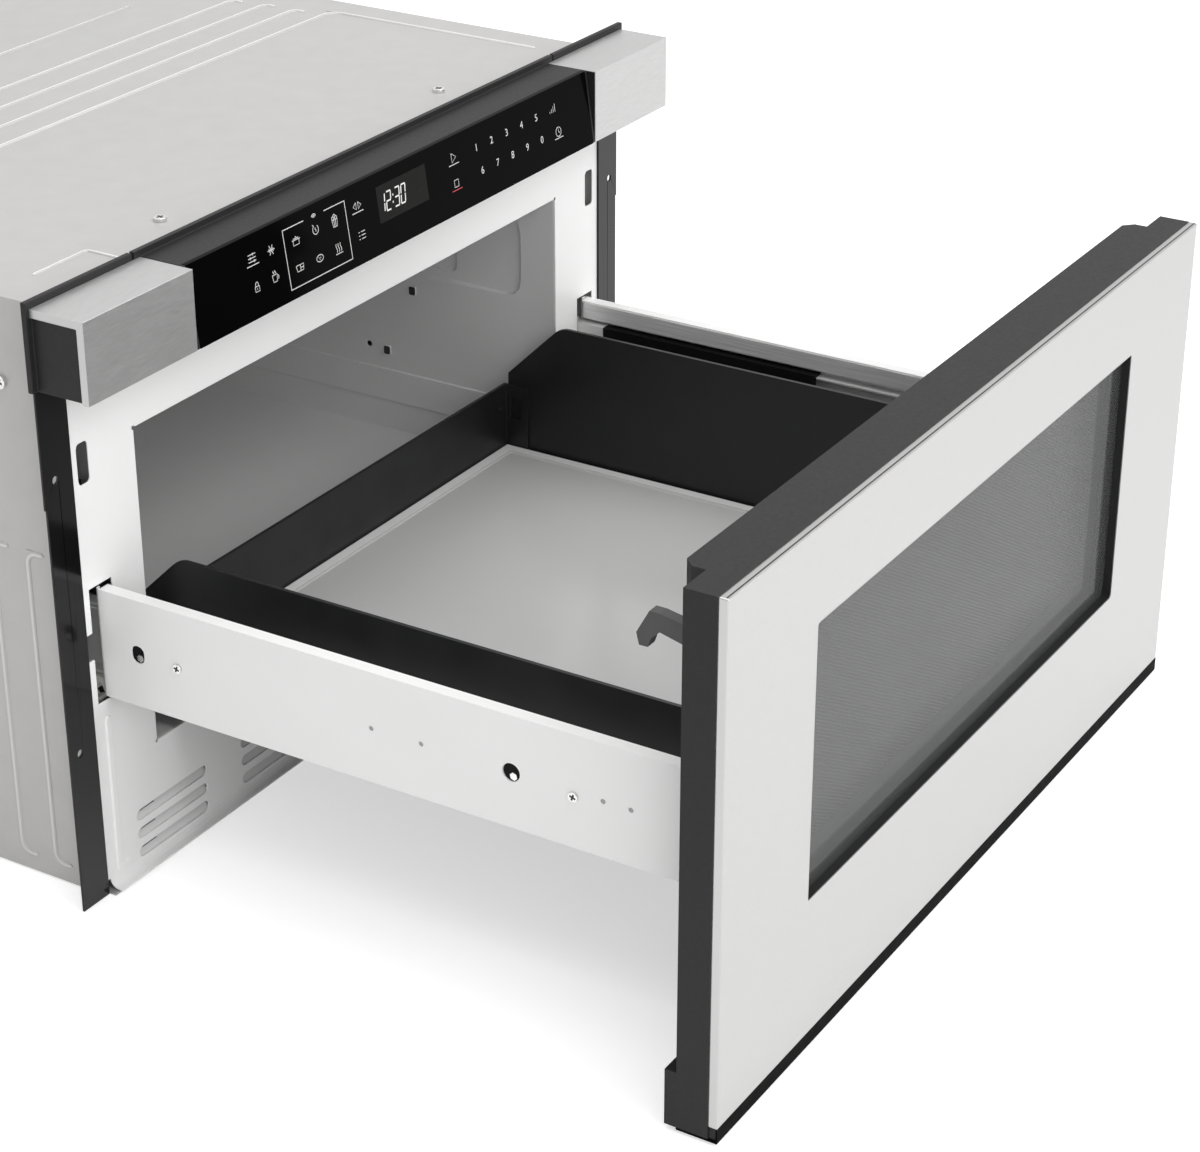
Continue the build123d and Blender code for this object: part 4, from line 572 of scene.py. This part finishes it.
for name, lines, x, z, half in (
        ("settings", sliders, -0.1515, 0.3630, 0.0026), ("padlock", padlock, -0.1510, 0.3462, 0.0024),
        ("defrost", snow, -0.1340, 0.3622, 0.0027), ("drinks", cup, -0.1340, 0.3468, 0.0026),
        ("cook", pot, -0.1110, 0.3608, 0.0026), ("reheat", again, -0.0920, 0.3612, 0.0026),
        ("puffed", box_of_puffs, -0.0735, 0.3608, 0.0028), ("frozen_tray", tray, -0.1110, 0.3446, 0.0027),
        ("potato", potato, -0.0920, 0.3446, 0.0026), ("steam", steam, -0.0735, 0.3448, 0.0026),
        ("open_close", arrows, -0.0508, 0.3630, 0.0030), ("more", list_of_more, -0.0500, 0.3452, 0.0027),
        ("start", go, 0.0500, 0.3632, 0.0026), ("stop", stop, 0.0500, 0.3472, 0.0024),
        ("power_steps", steps_up, 0.1635, 0.3630, 0.0025), ("timer", dial, 0.1675, 0.3470, 0.0026)):
    printed_picture("picture_" + name, lines, x, z, half * picture_scale, pale_ink)
printed_bars("sensor_frame", [(-0.0920, 0.3346, 0.0600, 0.0005), (-0.1218, 0.3521, 0.0005, 0.0350),
                              (-0.0622, 0.3521, 0.0005, 0.0350), (-0.1118, 0.3694, 0.0200, 0.0005),
                              (-0.0722, 0.3694, 0.0200, 0.0005)], pale_ink)
printed_picture("picture_sensor", [turn(0, -0.6, radius, 30, 120) for radius in (0.5, 1.0, 1.5)],
                -0.0920, 0.3690, 0.0016, pale_ink)
printed_bars("key_rules", [(-0.1515, 0.3588, 0.0110, 0.0005), (-0.0508, 0.3592, 0.0110, 0.0005),
                           (0.0500, 0.3590, 0.0110, 0.0005), (0.1675, 0.3430, 0.0100, 0.0005)], pale_ink)
printed_bars("stop_rule", [(0.0500, 0.3432, 0.0110, 0.0006)], red_ink)

printed_bars("display_patch", [(-0.0055, 0.3570, 0.0510, 0.0220)], smoked_patch, lift=0.00006)
segment_letters = {"1": "bc", "2": "abged", "3": "abgcd", "0": "abcdef"}
digit_width, digit_height, segment = 0.0042, 0.0110, 0.0009
clock_z, clock_slant, clock_lift = 0.3572, 0.14, 0.00012
half_width, half_height = digit_width / 2, digit_height / 2
upright = half_height - segment
segments = {"a": (0, half_height, digit_width, segment), "g": (0, 0, digit_width, segment),
            "d": (0, -half_height, digit_width, segment),
            "b": (half_width, half_height / 2, segment, upright),
            "c": (half_width, -half_height / 2, segment, upright),
            "f": (-half_width, half_height / 2, segment, upright),
            "e": (-half_width, -half_height / 2, segment, upright)}
for number, (x, digit) in enumerate(((-0.0262, "1"), (-0.0200, "2"), (-0.0112, "3"), (-0.0050, "0"))):
    bars = []
    for letter in segment_letters[digit]:
        u, v, width, height = segments[letter]
        bars.append((x + u + clock_slant * v, clock_z + v, width, height))
    printed_bars(f"clock_digit_{number + 1}", bars, lit_segment, clock_lift, clock_slant)
printed_bars("clock_colon", [(-0.0152, 0.3593, 0.0009, 0.0012), (-0.0158, 0.3551, 0.0009, 0.0012)],
             lit_segment, clock_lift)

# ------------------------------------------------------------------ Cooking cavity
# Folded and spot-welded walls in satin grey enamel, with a recess and a long rib pressed in
# each side. Clips for the duct show in the right wall, below the lamp's small holes.

grey_enamel = finish("grey_enamel", (0.72, 0.72, 0.72), 0.36, 0.1)
tint(grey_enamel, mottle(grey_enamel, 8, detail=2), (0.71, 0.71, 0.71), (0.74, 0.74, 0.74))
uneven_sheen(grey_enamel, mottle(grey_enamel, 20), 0.33, 0.40)
relief(grey_enamel, mottle(grey_enamel, 300, detail=1), 0.03, 0.00005)
dress(grey_enamel, "cavity_liner")
soften(0.0008, "cavity_liner")
mica = finish("mica", (0.62, 0.58, 0.50), 0.4)
tint(mica, mottle(mica, 60, detail=5), (0.55, 0.51, 0.43), (0.68, 0.64, 0.56))
relief(mica, mottle(mica, 250, detail=4), 0.2, 0.0001)
dress(mica, "stirrer_cover")
unlit_lamp = finish("unlit_lamp", (0.03, 0.03, 0.03), 0.3)
tint(unlit_lamp, mottle(unlit_lamp, 200), (0.025, 0.025, 0.025), (0.035, 0.035, 0.035))
dress(unlit_lamp, "cavity_lamp")

tab_face = 0.2202
tab_outline = ((0.0018, 0.003), (0.0025, 0.0023), (0.0025, -0.0023), (0.0018, -0.003),
               (-0.0018, -0.003), (-0.0025, -0.0023), (-0.0025, 0.0023), (-0.0018, 0.003))
for number, (y, z) in enumerate(((0.1186, 0.1886), (0.1420, 0.1388))):
    points = [(x, y + across, z + up) for x in (tab_face - 0.0004, tab_face + 0.0001)
              for across, up in tab_outline]
    new_piece(f"duct_clip_{number + 1}", points, prism_faces(len(tab_outline)), black_nylon, "cabinet")

# ------------------------------------------------------------------ Drawer front
# A brushed stainless skin is folded over a dark moulded frame, with a painted dark reflection
# along its top fold. A clear pane fills the window, with a perforated steel screen and the choke behind.

skin_steel = finish("skin_steel", (0.47, 0.467, 0.465), 0.34, 1.0)
brushed(skin_steel, (0.45, 0.447, 0.445), (0.49, 0.487, 0.485), 0.30, 0.38)
dress(skin_steel, "front_skin")
soften(0.0008, "front_skin")
dress(dark_moulding, "door_frame")
soften(0.0007, "door_frame")
choke_paint = finish("choke_paint", (0.02, 0.02, 0.0205), 0.4)
tint(choke_paint, mottle(choke_paint, 25), (0.017, 0.017, 0.0175), (0.024, 0.024, 0.0245))
relief(choke_paint, mottle(choke_paint, 1200, detail=2), 0.15, 0.0001)
dress(choke_paint, "choke_panel")

skin_low, skin_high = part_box("front_skin")
# A thin dark strip along the front of the top fold is a painted reflection of the fold's dark turn.
fold_reflection_inset = 0.0012
fold_reflection_half = skin_high.x - fold_reflection_inset
fold_reflection_y = skin_low.y + fold_reflection_inset
fold_reflection_width = 0.0009
points = [(x, y, skin_high.z + z) for z in (-0.0003, 0.00005) for x, y in
          ((-fold_reflection_half, fold_reflection_y), (fold_reflection_half, fold_reflection_y),
           (fold_reflection_half, fold_reflection_y + fold_reflection_width), (-fold_reflection_half, fold_reflection_y + fold_reflection_width))]
faces = [(3, 2, 1, 0), (4, 5, 6, 7), (0, 1, 5, 4), (1, 2, 6, 5), (2, 3, 7, 6), (3, 0, 4, 7)]
new_piece("fold_painted_reflection", points, faces, recess_shadow, "drawer")

clear_pane = finish("clear_pane", (0.22, 0.225, 0.225), 0.04)
clear_pane.node_tree.nodes["Principled BSDF"].inputs["Alpha"].default_value = 0.25
tint(clear_pane, mottle(clear_pane, 6, detail=1), (0.145, 0.148, 0.148), (0.165, 0.168, 0.168))
uneven_sheen(clear_pane, mottle(clear_pane, 15), 0.02, 0.06)
dress(clear_pane, "window_glass")

perforated = finish("perforated", (0.035, 0.035, 0.036), 0.4)
screen_nodes, screen_links = perforated.node_tree.nodes, perforated.node_tree.links


def screen_step(operation, first, second):
    """One arithmetic step of the screen's hole pattern; a plain number goes on the socket."""
    step = screen_nodes.new("ShaderNodeMath")
    step.operation = operation
    for socket, source in zip(step.inputs, (first, second)):
        if isinstance(source, float):
            socket.default_value = source
        elif source is not None:
            screen_links.new(source, socket)
    return step.outputs[0]


hole_pitch = 0.0022
hole_radius = 0.00072
hole_blur = 0.00006
hole_cover = 0.5
holes_half_width = 0.1985
holes_foot = 0.1120
holes_head = 0.2560
half_cell = Vector((hole_pitch * math.sqrt(3) / 2, 1, hole_pitch / 2))
screen_place = screen_nodes.new("ShaderNodeTexCoord")
to_holes = []
for shift in (Vector((0, 0, 0)), Vector((half_cell.x, 0, half_cell.z))):
    moved = screen_nodes.new("ShaderNodeVectorMath")
    moved.operation = "MULTIPLY_ADD"
    moved.inputs[1].default_value = (1, 0, 1)
    moved.inputs[2].default_value = shift
    in_cell = screen_nodes.new("ShaderNodeVectorMath")
    in_cell.operation = "WRAP"
    in_cell.inputs[1].default_value = half_cell
    in_cell.inputs[2].default_value = -half_cell
    from_hole = screen_nodes.new("ShaderNodeVectorMath")
    from_hole.operation = "LENGTH"
    screen_links.new(screen_place.outputs["Object"], moved.inputs[0])
    screen_links.new(moved.outputs["Vector"], in_cell.inputs[0])
    screen_links.new(in_cell.outputs["Vector"], from_hole.inputs[0])
    to_holes.append(from_hole.outputs["Value"])
web = screen_nodes.new("ShaderNodeMapRange")
web.inputs["From Min"].default_value = hole_radius - hole_blur
web.inputs["From Max"].default_value = hole_radius + hole_blur
screen_links.new(screen_step("MINIMUM", *to_holes), web.inputs["Value"])
apart = screen_nodes.new("ShaderNodeSeparateXYZ")
screen_links.new(screen_place.outputs["Object"], apart.inputs[0])
beyond_side = screen_step("GREATER_THAN", screen_step("ABSOLUTE", apart.outputs["X"], None),
                          holes_half_width)
beyond_foot = screen_step("LESS_THAN", apart.outputs["Z"], holes_foot)
beyond_head = screen_step("GREATER_THAN", apart.outputs["Z"], holes_head)
margin = screen_step("MAXIMUM", beyond_side, screen_step("MAXIMUM", beyond_foot, beyond_head))
solid = screen_step("MAXIMUM", web.outputs["Result"], margin)
screen_cover = screen_nodes.new("ShaderNodeMapRange")
screen_cover.inputs["To Min"].default_value = hole_cover
screen_links.new(solid, screen_cover.inputs["Value"])
screen_links.new(screen_cover.outputs["Result"], screen_nodes["Principled BSDF"].inputs["Alpha"])
tint(perforated, mottle(perforated, 40), (0.040, 0.040, 0.041), (0.050, 0.050, 0.051))
dress(perforated, "window_screen")

# ------------------------------------------------------------------ Rails
# White rail covers stand at each side of the bin, screwed to the carriers of plated telescopic
# slides. The black on the middle members is painted shade, for the shaded channel inside the real rail.
# Two openings in each cover show a dark disc of painted shade and the bolt that holds the carrier.

dress(white_powder, "rail_cover_left", "rail_cover_right")
soften(0.0004, "rail_cover_left", "rail_cover_right")
slide_zinc = finish("slide_zinc", (0.74, 0.74, 0.74), 0.34, 0.25)
slide_streaks = mottle(slide_zinc, 900, (1, 0.03, 1))
tint(slide_zinc, slide_streaks, (0.66, 0.66, 0.66), (0.82, 0.82, 0.815))
uneven_sheen(slide_zinc, slide_streaks, 0.28, 0.42)
dress(slide_zinc, "slide_inner_left", "slide_inner_right", "slide_outer_left", "slide_outer_right")
zinc_with_painted_shade = finish("zinc_with_painted_shade", (0.74, 0.74, 0.74), 0.34, 0.25)
uneven_sheen(zinc_with_painted_shade, mottle(zinc_with_painted_shade, 900, (1, 0.03, 1)), 0.28, 0.42)
# Ahead of the front plate the middle members turn black with dim reflections: painted shade.
painted_shade_from, bare_from = -0.0210, -0.0200
middle_nodes, middle_links = zinc_with_painted_shade.node_tree.nodes, zinc_with_painted_shade.node_tree.links
middle_place = middle_nodes.new("ShaderNodeTexCoord")
middle_apart = middle_nodes.new("ShaderNodeSeparateXYZ")
shade_to_bare = middle_nodes.new("ShaderNodeMapRange")
shade_to_bare.inputs["From Min"].default_value = painted_shade_from
shade_to_bare.inputs["From Max"].default_value = bare_from
painted_shade_gloss = middle_nodes.new("ShaderNodeMapRange")
painted_shade_gloss.inputs["To Min"].default_value = 0.06
painted_shade_gloss.inputs["To Max"].default_value = 0.5
middle_links.new(middle_place.outputs["Object"], middle_apart.inputs[0])
middle_links.new(middle_apart.outputs["Y"], shade_to_bare.inputs["Value"])
middle_links.new(shade_to_bare.outputs["Result"], painted_shade_gloss.inputs["Value"])
middle_links.new(painted_shade_gloss.outputs["Result"],
                 middle_nodes["Principled BSDF"].inputs["Specular IOR Level"])
tint(zinc_with_painted_shade, shade_to_bare.outputs["Result"], (0.012, 0.012, 0.012), (0.74, 0.74, 0.735))
dress(zinc_with_painted_shade, "slide_middle_left", "slide_middle_right")
# The dark discs in the covers' openings are painted shade.
opening_painted_shade = finish("opening_painted_shade", (0.006, 0.006, 0.006), 0.6, 0.0, 0.08)
uneven_sheen(opening_painted_shade, mottle(opening_painted_shade, 900), 0.5, 0.7)
# The grey discs in the covers' dimples are painted shade.
dimple_painted_shade = finish("dimple_painted_shade", (0.36, 0.36, 0.36), 0.5)
tint(dimple_painted_shade, mottle(dimple_painted_shade, 800), (0.32, 0.32, 0.32), (0.40, 0.40, 0.40))

cover_face = 0.2625
cover_head = 0.0016
cover_cross = 0.0019
rail_height = 0.160


def round_piece(name, centre, radius, thick, corners, material, side):
    """A short disc or hexagon whose face looks out of the cover at centre."""
    x, y, z = centre
    points = []
    for depth in (0, -thick):
        for k in range(corners):
            angle = 2 * math.pi * (k + 0.3) / corners
            points.append((side * (x + depth), y + radius * math.cos(angle), z + radius * math.sin(angle)))
    new_piece(name, points, prism_faces(corners), material, "drawer")


for word, side in (("left", -1), ("right", 1)):
    for number, (y, radius) in enumerate(((-0.0262, 0.0058), (-0.2756, 0.0053))):
        round_piece(f"rail_opening_shade_{word}_{number + 1}", (cover_face - 0.0009, y, rail_height),
                    radius, 0.0002, 24, opening_painted_shade, side)
        round_piece(f"rail_bolt_{word}_{number + 1}", (cover_face - 0.0002, y - 0.0014, rail_height - 0.0022),
                    0.0024, 0.0008, 6, bright_plate, side)
    for number, y in enumerate((-0.1862, -0.2186, -0.3319, -0.3486)):
        round_piece(f"rail_dimple_{word}_{number + 1}", (cover_face - 0.0003, y, rail_height),
                    0.0016, 0.0002, 12, dimple_painted_shade, side)
    for number, (y, z) in enumerate(((-0.0547, 0.1595), (-0.3143, 0.1576))):
        cross_recess(f"cover_screw_recess_{word}_{number + 1}", (side * (cover_face + cover_head), y, z),
                     (side, 0, 0), cover_cross, "drawer")

# ------------------------------------------------------------------ Rack and pinion drive
# The rack and the pinion are moulded in natural acetal. The gearbox is grey nylon, and its
# motor has a plated steel can.

acetal = finish("acetal", (0.72, 0.71, 0.67), 0.42)
tint(acetal, mottle(acetal, 50), (0.68, 0.67, 0.63), (0.76, 0.75, 0.71))
relief(acetal, mottle(acetal, 1800, detail=2), 0.15, 0.00008)
dress(acetal, "drive_rack", "drive_pinion")
grey_nylon = finish("grey_nylon", (0.12, 0.12, 0.125), 0.5)
tint(grey_nylon, mottle(grey_nylon, 35), (0.105, 0.105, 0.11), (0.135, 0.135, 0.14))
relief(grey_nylon, mottle(grey_nylon, 2500, detail=2), 0.25, 0.00008)
dress(grey_nylon, "drive_gearbox", "stirrer_motor")
motor_can = finish("motor_can", (0.5, 0.5, 0.5), 0.35, 1.0)
tint(motor_can, mottle(motor_can, 80), (0.44, 0.44, 0.44), (0.56, 0.56, 0.56))
dress(motor_can, "drive_motor", "high_voltage_capacitor", "stirrer")

# ------------------------------------------------------------------ Bin
# Steel walls in satin black enamel carry the food bin. Its floor is a plate of white ceramic
# with a raised rim, glazed on top.

black_enamel = finish("black_enamel", (0.0105, 0.0105, 0.011), 0.42, 0.0, 0.4)
tint(black_enamel, mottle(black_enamel, 18), (0.0095, 0.0095, 0.010), (0.012, 0.012, 0.0125))
uneven_sheen(black_enamel, mottle(black_enamel, 30), 0.36, 0.48)
relief(black_enamel, mottle(black_enamel, 1400, detail=2), 0.15, 0.0001)
dress(black_enamel, "bin_wall_left", "bin_wall_right", "bin_rear_wall", "bin_floor_pan")
soften(0.0004, "bin_wall_left", "bin_wall_right", "bin_rear_wall")
white_ceramic = finish("white_ceramic", (0.58, 0.58, 0.575), 0.2)
tint(white_ceramic, mottle(white_ceramic, 7, detail=2), (0.585, 0.585, 0.581), (0.61, 0.61, 0.606))
uneven_sheen(white_ceramic, mottle(white_ceramic, 25), 0.16, 0.26)
relief(white_ceramic, mottle(white_ceramic, 300, detail=2), 0.04, 0.0001)
dress(white_ceramic, "ceramic_floor")
soften(0.0011, "ceramic_floor")

rim_low, rim_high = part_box("ceramic_floor")
rim_width = 0.009
rim_margin = 0.0012
glaze = 0.00004
glazed_rim = finish("glazed_rim", (0.86, 0.86, 0.855), 0.2)
tint(glazed_rim, mottle(glazed_rim, 50), (0.84, 0.84, 0.835), (0.88, 0.88, 0.875))
points = [(x, y, z) for z in (rim_high.z - glaze, rim_high.z + glaze)
          for inset in (rim_margin, rim_width - rim_margin)
          for x, y in ((rim_low.x + inset, rim_low.y + inset), (rim_high.x - inset, rim_low.y + inset),
                       (rim_high.x - inset, rim_high.y - inset), (rim_low.x + inset, rim_high.y - inset))]
faces = []
for k in range(4):
    after = (k + 1) % 4
    faces += [(8 + k, 8 + after, 12 + after, 12 + k), (k, 4 + k, 4 + after, after),
              (k, after, 8 + after, 8 + k), (4 + k, 12 + k, 12 + after, 4 + after)]
new_piece("glazed_rim", points, faces, glazed_rim, "drawer")

# ------------------------------------------------------------------ Latch hooks
# Grey nylon hooks swing on pins in the drawer front and catch behind the front plate.

hook_nylon = finish("hook_nylon", (0.07, 0.07, 0.072), 0.36)
tint(hook_nylon, mottle(hook_nylon, 60), (0.033, 0.033, 0.035), (0.045, 0.045, 0.047))
relief(hook_nylon, mottle(hook_nylon, 2500, detail=2), 0.2, 0.00008)
dress(hook_nylon, "latch_hook_left", "latch_hook_right")
soften(0.0008, "latch_hook_left", "latch_hook_right")

# ------------------------------------------------------------------ Inside the case
# The circuit board, the clock module, the magnetron, the transformer and the fan motor are
# bought-in parts in their usual finishes.

solder_mask = finish("solder_mask", (0.02, 0.14, 0.05), 0.4)
tint(solder_mask, mottle(solder_mask, 300, detail=4), (0.015, 0.11, 0.04), (0.03, 0.17, 0.06))
dress(solder_mask, "control_board")
clock_glass = finish("clock_glass", (0.02, 0.02, 0.02), 0.1)
uneven_sheen(clock_glass, mottle(clock_glass, 40), 0.08, 0.16)
dress(clock_glass, "display_module")
bare_aluminium = finish("bare_aluminium", (0.72, 0.72, 0.73), 0.35, 1.0)
tint(bare_aluminium, mottle(bare_aluminium, 120), (0.66, 0.66, 0.67), (0.77, 0.77, 0.78))
dress(bare_aluminium, "magnetron")
laminations = finish("laminations", (0.16, 0.155, 0.15), 0.5, 0.8)
tint(laminations, mottle(laminations, 1500, (0.01, 1, 0.01), 2), (0.10, 0.097, 0.094), (0.22, 0.215, 0.21))
dress(laminations, "transformer_core", "fan_motor")
copper_enamel = finish("copper_enamel", (0.45, 0.16, 0.05), 0.3, 0.7)
tint(copper_enamel, mottle(copper_enamel, 1200, (0.02, 0.02, 1), 2), (0.32, 0.10, 0.03), (0.55, 0.21, 0.07))
dress(copper_enamel, "transformer_windings")
